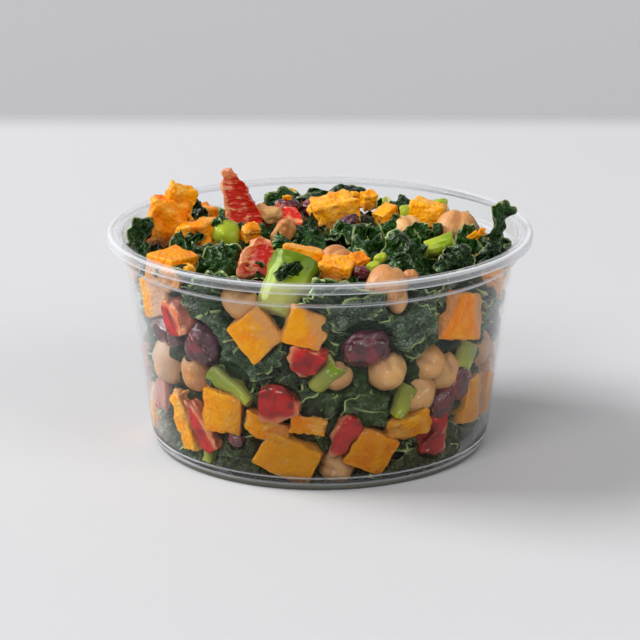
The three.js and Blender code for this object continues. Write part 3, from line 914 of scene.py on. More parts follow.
@dataclass(frozen=True)
class DeliCup:
    """The clear round cup, with the sizes of its solid.

    Fields are in millimetres: the rim's outer edge, the upright collar and the ledge at its
    foot, the tapered wall down to the heel, and the foot with its ring and recess. The last three
    are colours: of the painted shade that darkens what lies low in the cup, of the haze at its
    left, whose brightness there is painted light, and of the painted glints on drops of dressing.
    """

    height: float = 60.0
    rim_radius: float = 58.5
    rim_thickness: float = 1.1
    lip_drop: float = 2.4
    lip_thickness: float = 0.9
    collar_radius: float = 55.2
    ledge_depth: float = 6.9
    ledge_rise: float = 0.9
    shoulder_radius: float = 53.7
    foot_radius: float = 46.3
    heel_height: float = 3.8
    heel_radius: float = 47.3
    wall: float = 0.8
    floor: float = 1.7
    ring_width: float = 2.1
    recess: float = 0.8
    segments: int = 200
    section_step: float = 0.4
    # painted shade: the colour that darkens what lies low in the cup
    low_shade_colour: Triple = (0.06, 0.012, 0.003)
    # haze at the left: the milky wall is real, its brightness there is painted light from the key
    # lamp
    lit_haze_colour: Triple = (0.72, 0.62, 0.56)
    # colour of the painted glints: light caught by drops of dressing
    bead: Triple = (1.0, 0.94, 0.86)

    def inside_radius(self, height: np.ndarray) -> np.ndarray:
        """Inner radius of the wall: a straight taper, then a straight step out at the ledge.

        Args:
            height: heights above the foot.

        Returns:
            One radius for each height.
        """
        ledge_foot = self.height - self.ledge_depth
        share = np.clip((height - self.heel_height) / (ledge_foot - self.heel_height), 0, 1)
        taper = self.heel_radius + (self.shoulder_radius - self.heel_radius) * share
        step = np.clip((height - ledge_foot) / self.ledge_rise, 0, 1)
        return taper + (self.collar_radius - self.shoulder_radius) * step - self.wall

    def radius_at(self, height: float) -> float:
        """Returns the inner radius of the wall at one height."""
        return float(self.inside_radius(np.float64(height)))

    def filmed(
        self,
        paint: Paint,
        colour: Wire,
        film: Triple,
        share: Wire | float,
        glint_strength: float = 0.0,
        pressed: bool = False,
    ) -> Wire:
        """Colours food by how far behind the wall it lies.

        The gap is the wall's inner radius at a height less the distance from the axis, made
        uneven by noise. The film sets in within a millimetre of gap and is thicker high up and
        at the left, where the wall has fogged and a pale haze is painted over the food; at the
        left the milky wall is real, but its brightness there is painted light from the key lamp.
        Painted shade darkens what lies low, least at the left, where the key lamp falls. A bell
        about a tenth of a millimetre stands for the ring of dressing round each patch that
        touches, and painted glints in it stand for light caught by drops of dressing. Film, haze
        and glints end below the rim.

        Args:
            paint: the material's nodes.
            colour: the food's own colour.
            film: the dull colour.
            share: how far the colour goes towards it.
            glint_strength: how white the painted glints in the ring are, light caught by drops of
                dressing.
            pressed: whether the film lies on what touches the wall, and not on what lies back.

        Returns:
            The changed colour.
        """
        where = paint.place()
        x, y, z = paint.parts(where)
        climb = self.height - self.ledge_depth - self.heel_height
        slope = (self.shoulder_radius - self.heel_radius) / climb
        radius = (z - self.heel_height) * slope + (self.heel_radius - self.wall)
        gap = radius - (x * x + y * y) ** 0.5
        below = 1.0 - z.step(self.height - 6.0, self.height - 2.0)
        # film share: more high up, and more at the left as painted light where the key lamp lights
        # the milky wall
        fog_and_light_share = z.step(8.0, 50.0) * 0.5 + (1.0 - x.step(-48.0, -20.0)) * 0.5 + 0.28
        uneven = gap + paint.noise(where, 0.35, 3.0) * 1.2 - 0.6
        covered = (1.0 - uneven.step(0.2, 3.4)) if pressed else uneven.step(0.1, 0.8)
        dull = paint.mixed(covered * below * fog_and_light_share * share, colour, film)
        # painted light: a pale haze over the food at the left, the milky wall lit by the key lamp
        lit_haze_share = (1.0 - x.step(-50.0, -34.0)) * covered * below * 0.4
        dull = paint.mixed(lit_haze_share, dull, self.lit_haze_colour)
        # painted shade: darker low down and towards the right, away from the key lamp
        low_shade_share = (1.0 - z.step(6.0, 46.0)) * (x.step(-44.0, -6.0) * 0.44 + 0.06)
        low = paint.mixed(low_shade_share, dull, self.low_shade_colour)
        # painted glints: white specks along the wet ring round each touching patch, for light
        # caught by drops of dressing
        ring = (gap - 0.1) * 9.0
        wet = (ring * ring * -1.0).exponential() * below
        glint_specks = paint.noise(where, 0.9, 2.0).step(0.52, 0.62)
        return paint.mixed(wet * (glint_specks * glint_strength), low, self.bead)

    def outline(self) -> tuple[np.ndarray, int]:
        """The section from under the foot to the middle of the floor.

        Returns:
            The points, and how many of them lie outside.
        """
        ledge_foot = self.height - self.ledge_depth
        ledge_top = ledge_foot + self.ledge_rise
        top = self.height
        inner = self.inside_radius
        outside = [
            (0, self.recess, 0),
            (self.foot_radius - self.ring_width - 0.6, self.recess, 0.4),
            (self.foot_radius - self.ring_width, 0, 0.5),
            (self.foot_radius - 0.5, 0, 0.4),
            (self.foot_radius, 0.6, 0.5),
            (self.heel_radius, self.heel_height, 0.35),
            (self.shoulder_radius, ledge_foot, 0.3),
            (self.collar_radius, ledge_top, 0.35),
            (self.collar_radius, top - self.rim_thickness, 0.3),
            (self.rim_radius - self.lip_thickness, top - self.rim_thickness, 0.3),
            (self.rim_radius - self.lip_thickness, top - self.lip_drop, 0.25),
            (self.rim_radius, top - self.lip_drop, 0.25),
            (self.rim_radius, top - 0.5, 0.4),
            (self.rim_radius - 0.5, top, 0.4),
        ]
        bead = [
            (self.rim_radius - 1.5, top, 0.1),
            (self.rim_radius - 1.7, top - 0.22, 0.1),
            (self.rim_radius - 2.0, top, 0.1),
        ]
        inside = [
            (self.collar_radius + 0.3, top, 0.4),
            (inner(top), top - 0.5, 0.4),
            (inner(ledge_top), ledge_top, 0.35),
            (inner(ledge_foot), ledge_foot, 0.3),
            (inner(self.heel_height + 1), self.heel_height + 1, 0.5),
            (inner(self.heel_height) - 0.9, self.floor + 0.5, 0.6),
            (inner(self.heel_height) - 2.2, self.floor, 0.6),
            (0, self.floor, 0),
        ]
        outer = finer(filleted(outside + bead), self.section_step)
        whole = finer(filleted(outside + bead + inside), self.section_step)
        return whole, len(outer)

    def bright_lines(self) -> np.ndarray:
        """Where the plastic turns a corner: lines of painted highlight, made as bands of thicker
        milk.

        Returns:
            Radius, height, strength and half width of each line round the cup.
        """
        top, ledge = self.height, self.height - self.ledge_depth
        return np.array(
            [
                (self.rim_radius - 0.5, top, 30.0, 0.5),
                (self.rim_radius, top - self.lip_drop, 34.0, 0.35),
                (self.collar_radius - 0.5, top, 20.0, 0.35),
                (self.collar_radius, ledge + self.ledge_rise, 16.0, 0.25),
                (self.shoulder_radius, ledge, 34.0, 0.3),
                (self.heel_radius, self.heel_height, 26.0, 0.25),
            ]
        )

    def surface(self) -> Surface:
        """The cup as a lathe whose veil says how milky each place is.

        On the inner face the veil rises from a fifth near the floor to 0.85 under the ledge,
        where the wall has fogged, and is more at the left. It is more over the lip, most of all
        at the back right and a little at the right front, where the thick milk is painted
        highlight, and a bell across each bright line, painted highlight too, is added on the outer
        face, fainter at the left.
        """
        profile, outer_count = self.outline()
        cup = lathe(profile, self.segments)
        rings = profile[1:-1]
        inner = (np.arange(len(rings)) + 1 >= outer_count).astype(float)
        lip = smooth_step(rings[:, 0], self.collar_radius + 0.4, self.rim_radius - 1.2)
        lines = self.bright_lines()
        away = np.linalg.norm(rings[:, None, :] - lines[None, :, :2], axis=2)
        # painted highlight: a bell of thicker milk across each bright line
        glow = (lines[:, 2] * bell(away, lines[:, 3])).sum(1)
        # foot: where the milk is thick and dark, painted shade for the shadow under the cup
        foot = 1 - smooth_step(rings[:, 1], 1.2, 2.6)
        ring_inside = self.foot_radius - self.ring_width
        foot = foot * smooth_step(rings[:, 0], ring_inside - 0.8, self.foot_radius - 1.2)
        fogged = 0.2 + 0.65 * smooth_step(rings[:, 1], 18, 50)
        veil = (inner * fogged + 5.5 * lip + glow * (1 - inner)) * (1 - foot) + 70 * foot
        x, y, z = cup.points[:-2].T
        left = smooth_step(-x, 34, 50) * smooth_step(z, 12, 40)
        # painted highlight: thick milk on the lip at the back right and, less, at the right front
        bright = bell(np.degrees(np.arctan2(x, y)) - 47, 13)
        right = smooth_step(x, 20, 50) * (1 - smooth_step(y, 0, 20))
        patches = 1.6 * left * np.repeat(inner, self.segments)
        patches = patches + (34 * bright + 5 * right) * np.repeat(lip, self.segments)
        faint = 1 - 0.55 * smooth_step(-x, 34, 54) * np.repeat(1 - inner, self.segments)
        veil = np.repeat(veil, self.segments) * faint + patches
        cup.values["veil"] = np.concatenate([veil, [0.0, 1.0]])
        cup.values["foot"] = np.concatenate([np.repeat(foot, self.segments), [0.0, 0.0]])
        return cup

    def build(self) -> None:
        """Makes the cup's piece in place of its solid."""
        piece = add_object("clear_cup", self.surface(), ClearPlasticFinish().material())
        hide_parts("cup")
        ride(piece)


CUP = DeliCup()


def ride(piece: bpy.types.Object) -> None:
    """Puts a piece on the one body and reports it."""
    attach(piece, BODY)
    LOG.info("%s: %d faces", piece.name, len(piece.data.polygons))


# ---------------------------------------------------------------- the pieces


class Kind(Enum):
    """What a piece of the salad is, by its material slot."""

    SQUASH = "squash"
    CHICKPEA = "chickpea"
    PEPPER = "pepper"
    CRANBERRY = "cranberry"
    STEM = "stem"


@dataclass(frozen=True)
class Piece:
    """One piece of food where it lies.

    Fields:
        kind: what it is.
        centre: its middle.
        size: width, depth and height before it is turned.
        turn: 3 by 3 matrix of its turn.
        seed: sets its chance shape.
        ragged: 0 for clean knife cuts, 1 for a torn, crumbly piece.
        shade: 0 for a pale stalk, 1 for one with a dark green end.
    """

    kind: Kind
    centre: np.ndarray
    size: Triple
    turn: np.ndarray
    seed: int
    ragged: float = 0.0
    shade: float = 0.0

    def surface(self) -> Surface:
        """Returns the piece's surface in its place."""
        shape = SHAPES[self.kind](self)
        placed = shape.points @ self.turn.T + self.centre
        tint = np.random.default_rng(self.seed).random()
        return shape.moved(placed).with_value("tint", tint)

    def torn(self, points: np.ndarray, coarse: tuple, fine: tuple) -> np.ndarray:
        """How far tearing moves each point, as two noises times the raggedness.

        Args:
            points: places before the move.
            coarse: strength and wavelength of the larger noise.
            fine: the same of the smaller one.

        Returns:
            One distance for each point.
        """
        large = coarse[0] * swell(points, coarse[1], self.seed + 2)
        small = fine[0] * swell(points, fine[1], self.seed + 3)
        return self.ragged * (large + small)


def corner_pushes(seed: int) -> np.ndarray:
    """How far each corner of a cube is pushed along x, y and z, as shares of its half size.

    Args:
        seed: the piece's seed.

    Returns:
        An array over the low and high side of x, y and z, and then the three shares.
    """
    draws = Draws(seed)
    return 0.84 + 0.26 * np.array(draws.several(24)).reshape(2, 2, 2, 3)


def squash_surface(piece: Piece) -> Surface:
    """A cube with rounded edges whose corners are pushed out of true.

    The place of each point is the mean of the eight corners, weighted by nearness.
    """
    cube = box_shell(eased_lines(18, 0.75))
    rounding = 0.11 + 0.12 * piece.ragged
    soft = softened(cube.points, rounding)
    signs = np.array([-1.0, 1.0])
    near = (1 + signs * soft[..., None]) / 2
    corners = np.stack(np.meshgrid(signs, signs, signs, indexing="ij"), -1)
    pushed = corner_pushes(piece.seed) * corners
    points = np.einsum("ni,nj,nk,ijkc->nc", near[:, 0], near[:, 1], near[:, 2], pushed)
    points = points * np.array(piece.size) / 2
    outward = soft / np.linalg.norm(soft, axis=1)[:, None]
    dents = 0.18 * swell(points, 5.0, piece.seed) + 0.06 * swell(points, 1.6, piece.seed + 1)
    torn = piece.torn(points, (0.45, 4.4), (0.24, 1.7))
    cube.values["second_colour_share"] = np.clip(
        0.9 * piece.ragged * smooth_step(swell(points, 4.0, piece.seed + 5), -0.2, 1.0)
        + 0.35 * smooth_step(np.sort(np.abs(soft), axis=1)[:, 1], 0.84, 0.99),
        0,
        1,
    )
    return cube.moved(points + outward * (dents + torn)[:, None])


def chickpea_surface(piece: Piece) -> Surface:
    """A ball with a beak towards +Y and a cleft over its top.

    Each direction's distance is 1, plus a bell round the beak, less a narrow bell along the
    plane x = 0 on the upper side, less a shallow one round the beak's foot. A ragged one is
    broken: its surface moves in and out by noise.
    """
    pea = ball(12)
    aim = pea.points
    off_beak = np.linalg.norm(aim - [0, 1, 0], axis=1)
    beak = 0.24 * bell(off_beak, 0.34) - 0.05 * bell(off_beak - 0.72, 0.22)
    upper = smooth_step(aim[:, 2], -0.1, 0.5)
    cleft = upper * bell(aim[:, 0], 0.13)
    lobes = 0.04 * upper * bell(np.abs(aim[:, 0]) - 0.42, 0.3)
    reach = 1 + beak + lobes - 0.10 * cleft + 0.025 * swell(aim, 0.9, piece.seed)
    reach = reach + 0.006 * swell(aim, 0.25, piece.seed + 1)
    # share of the darker cleft colour: along the cleft and round the beak's foot
    pea.values["second_colour_share"] = np.clip(0.8 * cleft + 0.25 * bell(off_beak - 0.6, 0.2), 0, 1)
    points = aim * reach[:, None] * np.array(piece.size) / 2
    torn = piece.torn(points, (0.5, 4.6), (0.2, 1.5))
    return pea.moved(points + aim * torn[:, None])


def cranberry_surface(piece: Piece) -> Surface:
    """A long berry with creases that run from end to end.

    Each direction's distance is 1 less a share of the folded sine of its angle round the long
    axis, bent by noise.
    """
    berry = ball(14)
    aim = berry.points
    angle = np.arctan2(aim[:, 2], aim[:, 1])
    waver = swell(aim, 1.4, piece.seed)
    crease = np.abs(np.sin(2.5 * angle + 1.6 * waver)) ** 0.6
    reach = 0.84 + 0.16 * crease + 0.07 * waver + 0.05 * swell(aim, 0.5, piece.seed + 1)
    berry.values["second_colour_share"] = 1 - crease
    return berry.moved(aim * reach[:, None] * np.array(piece.size) / 2)


PEPPER_ROUNDING = 0.12


def pepper_surface(piece: Piece) -> Surface:
    """A bent slab of pepper wall, widest at its middle and narrow at its top, skin towards +Y.

    Depth is bowed by a quarter less the square of the place across and along. The flesh side
    carries low ribs, as the sine of the height bent by noise.
    """
    cube = box_shell(eased_lines(14, 0.6))
    soft = softened(cube.points, PEPPER_ROUNDING)
    x, y, z = (soft / 2).T
    wide, deep, high = piece.size
    bow = 0.9 * deep * (0.25 - x * x) + 0.5 * deep * (0.25 - z * z)
    taper = 0.82 - 0.6 * z - 1.35 * z * z
    points = np.stack([x * taper * wide, y * deep + bow, z * high], 1)
    flesh = 1 - smooth_step(soft[:, 1], 0.35, 0.75)
    lean = swell(points, 7.0, piece.seed)
    ribs = np.abs(np.sin(points[:, 2] * 1.25 + 1.4 * lean + 0.25 * points[:, 0]))
    points[:, 1] -= flesh * (0.55 * ribs - 0.3) * smooth_step(-soft[:, 1], -0.9, 0.2)
    points += 0.22 * swell(points, 4.0, piece.seed + 1)[:, None] * soft
    points[:, 0] += 0.5 * swell(points, 3.4, piece.seed + 2) * np.abs(soft[:, 0])
    cube.values["second_colour_share"] = flesh
    left_edge, top_edge = smooth_step(-soft[:, 0], 0.6, 0.95), smooth_step(soft[:, 2], 0.7, 0.97)
    cube.values["rim"] = np.maximum(left_edge, top_edge)
    return cube.moved(points)


# Places along a stalk from -1 to 1, and the share of its full width there.
STEM_SECTION = (
    (-1, 0.55), (-1, 0.9), (-0.985, 0.97), (-0.95, 1), (-0.7, 1), (-0.4, 1), (-0.1, 1), (0.2, 1),
    (0.5, 1), (0.75, 1), (0.94, 1), (0.985, 0.985), (1, 0.96), (1, 0.8), (0.97, 0.66),
    (0.8, 0.6), (0.72, 0.3),
)


def stem_surface(piece: Piece) -> Surface:
    """A chopped stalk: a rod with a groove along one side, hollowed a little at its upper end.

    The outline is a circle less a bell at the groove. Its size goes from 1 at the top to 0.84
    at the foot, and the ends are turned in over a small rounding, or like a ball's where the
    piece is ragged.
    """
    spokes = 40
    along, inset = np.array(STEM_SECTION).T
    round_along = np.sin(np.linspace(-0.46, 0.46, len(along)) * math.pi)
    along = along + piece.ragged * (round_along - along)
    inset = inset + piece.ragged * (np.sqrt(1 - round_along**2) - inset)
    angle = np.arange(spokes) * TURN / spokes
    groove = 1 - 0.14 * bell(np.sin(angle / 2), 0.22)
    wide, deep, high = piece.size
    taper = 0.92 + 0.08 * along
    points = np.empty((len(along), spokes, 3))
    bow = 0.06 * high * (1 - along**2)
    points[..., 0] = (taper * inset)[:, None] * groove * np.cos(angle) * wide / 2 + bow[:, None] / 2
    points[..., 1] = (taper * inset)[:, None] * groove * np.sin(angle) * deep / 2
    points[..., 2] = along[:, None] * high / 2
    flat = points.reshape(-1, 3)
    rough = 0.3 * swell(flat, 5.0, piece.seed) + 0.14 * swell(flat, 2.2, piece.seed + 1)
    flat = flat + rough[:, None] * np.array([1.0, 1.0, 0.5])
    ends = np.array([flat[:spokes].mean(0), flat[-spokes:].mean(0)])
    rows = np.arange(len(along))
    cut = ((rows <= 1) | (rows >= 12)).astype(float) * (1 - 0.8 * piece.shade) * (1 - piece.ragged)
    dark = piece.shade * smooth_step(along, 0.1, 0.8) * (rows > 1)
    spread = np.broadcast_to(angle / TURN, (len(along), spokes)).ravel()
    paler = (along / 2 + 0.5) * (1 - 0.6 * piece.ragged)
    lined = spread * TURN * (1 - piece.ragged)
    stalk = np.stack([lined, np.repeat(paler, spokes), np.repeat(dark, spokes)], 1)
    tail = np.array([[0, 0, 0], [0, 1, piece.shade]], float)
    values = {
        "second_colour_share": np.concatenate([np.repeat(cut, spokes), np.array([1.0, 0.4]) * (1 - piece.ragged)]),
        "stalk": np.concatenate([stalk, tail]),
    }
    return Surface(np.concatenate([flat, ends]), *capped(len(along), spokes), values)


SHAPES = {
    Kind.SQUASH: squash_surface,
    Kind.CHICKPEA: chickpea_surface,
    Kind.PEPPER: pepper_surface,
    Kind.CRANBERRY: cranberry_surface,
    Kind.STEM: stem_surface,
}

FINISHES = {
    Kind.SQUASH: SquashFinish(),
    Kind.CHICKPEA: ChickpeaFinish(),
    Kind.PEPPER: PepperFinish(),
    Kind.CRANBERRY: CranberryFinish(),
    Kind.STEM: StemFinish(),
}


@dataclass(frozen=True)
class Leaf:
    """A torn piece of curly kale before it is laid down.

    Fields:
        width: across the leaf.
        length: along its rib.
        curl: height of its edges over its middle.
        ruffle: height of the waves in its margin.
        seed: sets its outline and waves.
        rings: steps from the middle to the margin.
        spokes: steps round the margin.
        thickness: of the leaf, which thins towards its margin.
    """

    width: float
    length: float
    curl: float
    ruffle: float
    seed: int
    rings: int = 10
    spokes: int = 92
    thickness: float = 0.4

    def surface(self) -> Surface:
        """A closed thin leaf about the origin, with its faces towards +Z and -Z.

        In polar places (s, angle) the outline is 1 plus two sine waves round the leaf and the
        folded sine of the lobes, which makes round lobes with sharp notches. The height is a
        bowl, s squared, plus slow waves that grow towards the margin and at the very edge one
        that lifts every other lobe, plus blisters with sharp creases between them.
        """
        random = np.random.default_rng(self.seed)
        phase = random.uniform(0, TURN, 8)
        s = np.linspace(0, 1, self.rings + 1)[1:, None] ** 0.85
        angle = np.arange(self.spokes)[None, :] * TURN / self.spokes
        outline = 1 + 0.16 * np.sin(2 * angle + phase[0]) + 0.12 * np.sin(3 * angle + phase[1])
        count = 5 + round((self.width + self.length) / 9)
        turning = count * angle + phase[2] + 1.3 * np.sin(2 * angle + phase[6])
        outline = outline + 0.13 * (np.abs(np.sin(turning)) - 0.6) * s**3
        x = s * outline * np.cos(angle) * self.width / 2
        y = s * outline * np.sin(angle) * self.length / 2
        waves = int(random.integers(4, 7))
        slow = np.sin(waves * angle + phase[3] + 1.2 * np.sin(2 * angle + phase[4]))
        rise = self.curl * s**2 + self.ruffle * (slow * s**2.2 + 0.6 * np.sin(turning) * s**5)
        sway = 0.5 * self.ruffle * np.cos(waves * angle + phase[3]) * s**4
        x = x - sway * np.sin(angle)
        y = y + sway * np.cos(angle)
        flat = np.stack([x, y, np.zeros_like(x)], -1).reshape(-1, 3)
        blister = 0.5 - np.abs(swell(flat, 5.4, self.seed + 7))
        blister = blister + 0.5 * (0.5 - np.abs(swell(flat, 2.8, self.seed + 8)))
        middle = flat + upright(rise.ravel() + blister)
        hub = np.array([[0, 0, float(blister[: self.spokes].mean())]])
        edge = np.broadcast_to(s, x.shape).ravel()
        half = self.thickness / 2 * (1 - 0.75 * smooth_step(edge, 0.8, 1.0))
        lift = upright(np.append(half, self.thickness / 2))
        sheet = np.concatenate([middle, hub])
        count = len(sheet)
        centre = fan(0, self.spokes, count - 1)
        quads = grid_quads(self.rings, self.spokes, wrap=True)
        step, after, _ = fan((self.rings - 1) * self.spokes, self.spokes, 0).T
        side = np.stack([step, step + count, after + count, after], 1)
        faces = np.concatenate([quads, quads[:, ::-1] + count, side])
        triangles = np.concatenate([centre, centre[:, ::-1] + count])
        leaf = np.concatenate([np.stack([flat[:, 0], flat[:, 1], edge], 1), [[0, 0, 0]]])
        points = np.concatenate([sheet + lift, sheet - lift])
        return Surface(points, faces, triangles, {"leaf": np.concatenate([leaf, leaf])})


# ---------------------------------------------------------------- where the pieces lie

SQ, CP, RP, CB, ST = Kind.SQUASH, Kind.CHICKPEA, Kind.PEPPER, Kind.CRANBERRY, Kind.STEM

# The loose pieces on top, each a solid of its own: kind, middle, size, turns, raggedness, shade.
ON_TOP = [
    (SQ, (-42.4, 3, 60), (11, 7, 15), (-4, 12, 8), 1.0, 0),
    (SQ, (-38.6, 5, 67.6), (8, 5, 6), (0, 24, 15), 0.8, 0),
    (SQ, (-33.8, 18, 57.5), (9, 9, 8), (5, 0, 30), 0.5, 0),
    (SQ, (-33.8, -3, 58), (10.5, 8, 8.5), (0, -12, -15), 0.9, 0),
    (SQ, (-39.4, -25.5, 55.2), (10, 10, 9), (4, 2, 44), 0, 0),
    (RP, (-22.6, 14, 61.8), (10.4, 4.5, 22.6), (-8, -19, 4), 0, 0),
    (RP, (-16.5, -27, 57.5), (12, 6, 13), (-35, 14, 18), 0, 0),
    (RP, (-10.8, 19, 57.3), (13, 4.5, 8), (-60, 0, 8), 0, 0),
    (SQ, (3.8, 24, 57.4), (13.4, 10.6, 9.2), (6, -8, 20), 0.9, 0),
    (SQ, (-5, -26, 57), (11, 8, 9), (-8, 12, 5), 0.3, 0),
    (SQ, (4.2, -33, 55.3), (9, 8.5, 9.5), (8, 8, -12), 0.4, 0),
    (SQ, (19, 19.6, 57.2), (5.8, 5.6, 6.2), (10, -20, 35), 0.2, 0),
    (SQ, (30, 18.5, 57.6), (10.5, 9, 9.6), (0, 10, -20), 0.5, 0),
    (ST, (-8.8, -42, 55), (14, 9, 17), (-40, 20, 0), 0, 0.4),
    (ST, (-25.8, -4, 58.4), (10.2, 9.6, 8.8), (10, 4, 0), 1.0, 0),
    (ST, (32.6, -12.5, 57.8), (6.4, 6.4, 7.8), (8, 72, 30), 0, 0),
    (ST, (24.6, 18.5, 59.2), (5.6, 5.2, 5.4), (20, 10, 0), 1.0, 0),
    (CP, (4.4, -23.8, 56.8), (9, 9.4, 8.6), (10, 20, 130), 0, 0),
    (CP, (17.3, -44.2, 55.9), (11, 11, 11), (-62, 15, 10), 0, 0),
    (CP, (24.2, 6.2, 56.8), (9.6, 10, 9.2), (0, 0, 200), 0, 0),
    (CP, (38, 4.5, 57.2), (12.6, 12.6, 11.6), (50, 0, 170), 0, 0),
    (CB, (-9.4, 30, 57.6), (8, 6.5, 5.5), (0, 8, 20), 0, 0),
    (CB, (-2.8, 31, 57.2), (6, 5.5, 5), (0, -10, 60), 0, 0),
    (CB, (7.4, 12, 57.4), (8, 6, 5), (0, -26, 12), 0, 0),
]

# Crumbs and shreds among them, too small to be solids of their own, in the same columns.
SMALL_BITS = [
    (SQ, (-19.2, -5.8, 60), (5, 4, 4), (20, 0, 30), 1.0, 0),
    (SQ, (40.8, -7.3, 58.9), (5.4, 1.4, 1.4), (0, -35, 0), 0.3, 0),
    (SQ, (43.2, -7.3, 59.2), (1.4, 1.4, 5), (0, 30, 0), 0.3, 0),
    (ST, (16.1, -26.8, 58.6), (3, 3, 3.8), (20, 60, 0), 1.0, 0),
    (ST, (13.9, -31.8, 57.6), (3.2, 3.2, 4.2), (0, 70, 20), 1.0, 0),
    (SQ, (10, -29.9, 58), (4.8, 4.5, 4.8), (20, 10, 40), 0.6, 0),
    (SQ, (14.2, 37.1, 57.8), (4.2, 4, 5), (10, 0, 20), 0.5, 0),
    (ST, (18.6, 31, 58), (2.6, 2.2, 4.6), (30, 10, 0), 0, 0),
    (ST, (32.8, 22.6, 60.6), (3, 3.4, 7.4), (0, 84, 0), 0.5, 0),
    (SQ, (10, 40, 58.6), (2.4, 2, 2.4), (0, 20, 30), 1.0, 0),
    (SQ, (-9.6, 29.5, 60.4), (2.8, 2, 1.8), (0, 0, 20), 0.8, 0),
    (CB, (10.8, -37.5, 57.6), (4.6, 4, 3.6), (0, 20, 0), 0, 0),
    (CP, (23.6, -38, 56.8), (4.2, 4, 3.6), (0, 0, 0), 0, 0),
    (SQ, (-7.9, 53.5, 56.4), (1.8, 1.4, 1.6), (0, 0, 10), 1.0, 0),
    (CP, (-9.8, -1.8, 58.2), (6, 5, 9.6), (10, 20, 10), 1.0, 0),
    (CP, (-14.9, 15.4, 59.8), (4.4, 9, 4.6), (0, 12, 80), 1.0, 0),
]

# Pieces that press against the front of the wall: kind, degrees round from the front, height,
# size, turns while it still lies at the front, and how deep its middle lies.
AT_WALL = [
    (SQ, -20, 44, (12, 11, 11), (14, -40, 20), 5.0),
    (SQ, -5.2, 45.7, (11.5, 11, 10), (-10, 18, 24), 4.9),
    (SQ, -10.5, 9.4, (15.4, 11, 11.6), (14, 24, -8), 4.9),
    (SQ, 17.3, 10.6, (11.4, 12, 11.4), (6, 28, -6), 5.2),
    (SQ, -34, 20.5, (11.6, 11, 12.5), (8, 6, 14), 4.6),
    (SQ, -52.4, 13.8, (5, 8, 17), (4, -20, 10), 3.6),
    (SQ, 50.5, 43.8, (18.5, 12.5, 13.5), (-6, 14, 26), 5.4),
    (SQ, 59, 18, (12, 10, 13), (0, 8, 10), 4.4),
    (SQ, 31, 17, (13, 8, 6.6), (20, -14, -14), 3.6),
    (SQ, -17.5, 17.4, (13, 6, 6), (0, 20, 8), 3),
    (SQ, -61, 47.4, (12.4, 10, 11), (6, -12, 14), 5.4),
    (SQ, 75, 49.5, (10, 9, 9), (8, -20, 10), 5.2),
    (SQ, -50, 55, (9, 7, 5), (10, -4, 0), 5.4),
    (SQ, 76.5, 17.4, (14, 10, 14), (0, -4, 8), 4.6),
    (CP, 22.3, 32.5, (11.2, 10.8, 11.2), (0, -25, 0), 4.9),
    (CP, 37.6, 32.7, (10.4, 10.4, 10.4), (0, -60, 0), 4.7),
    (CP, 46, 28.4, (11.6, 10.4, 11.4), (0, -10, 0), 5.4),
    (CP, 34.6, 24.2, (11.2, 10.4, 11.8), (20, -170, 0), 4.8),
    (CP, 6.1, 5.9, (9.8, 10, 9.8), (0, -80, 0), 4.9),
    (CP, -45.2, 28.7, (10.6, 10.4, 11.2), (0, -10, 0), 4.8),
    (CP, -66, 27.4, (14, 11.4, 12.6), (0, -120, 0), 6),
    (CP, 5.5, 32.5, (9.6, 10, 9.6), (0, -45, 0), 6.2),
    (CP, 69, 30.5, (12, 11, 12), (0, -20, 0), 6),
    (CB, -40, 37.9, (10.5, 9, 12.5), (0, -14, 0), 3.2),
    (CB, -57.5, 38, (13, 8, 8.5), (0, 8, 0), 3.2),
    (CB, 14.2, 39.9, (14, 8.6, 10.4), (0, 4, 0), 3.2),
    (CB, 43.4, 20.8, (12, 8, 10), (0, -36, 0), 2.8),
    (CB, 51.4, 24.8, (11.5, 8, 11), (0, 24, 0), 2.6),
    (RP, -49.5, 44.4, (10.5, 6, 9.5), (10, -14, 160), 3.2),
    (RP, -42.6, 14.2, (5.6, 4, 15), (0, -32, 176), 2),
    (RP, -12.8, 24.2, (11, 5, 11), (10, 96, 170), 2.8),
    (RP, 7.6, 15.4, (7, 4, 12), (4, -150, 190), 2.2),
    (RP, 41.4, 10.2, (10, 4, 7.4), (10, 12, 180), 2.8),
    (RP, 42.6, 15.4, (7.6, 4, 6), (-10, 40, 180), 2.6),
    (RP, -4.2, 37.4, (10.5, 5, 8), (20, 200, 190), 3.2),
    (SQ, -3.6, 18.8, (9, 5.4, 5), (0, 10, 0), 2.6),
    (RP, -69, 18.4, (9, 5, 10), (0, 4, 180), 4.6),
    (ST, -30, 27.4, (5, 4.6, 13.6), (0, -60, 0), 2.6),
    (ST, 54.4, 31.2, (8, 5, 8), (0, 30, 0), 2.8),
    (ST, 28, 23.4, (6.4, 5, 9), (0, 28, 0), 2.8),
    (ST, 2, 32.8, (7, 6, 10), (20, 40, 0), 3.6),
    (ST, -41.6, 7, (4.4, 4.4, 7), (0, 10, 0), 2.6),
    (CB, -29, 12.4, (5.4, 4, 4.4), (0, 20, 0), 1.8),
    (CP, -25.5, 51, (11.5, 9, 8.5), (0, 30, 0), 5.2),
    (CP, 24, 52.6, (5, 5, 7.6), (0, 8, 0), 3),
]

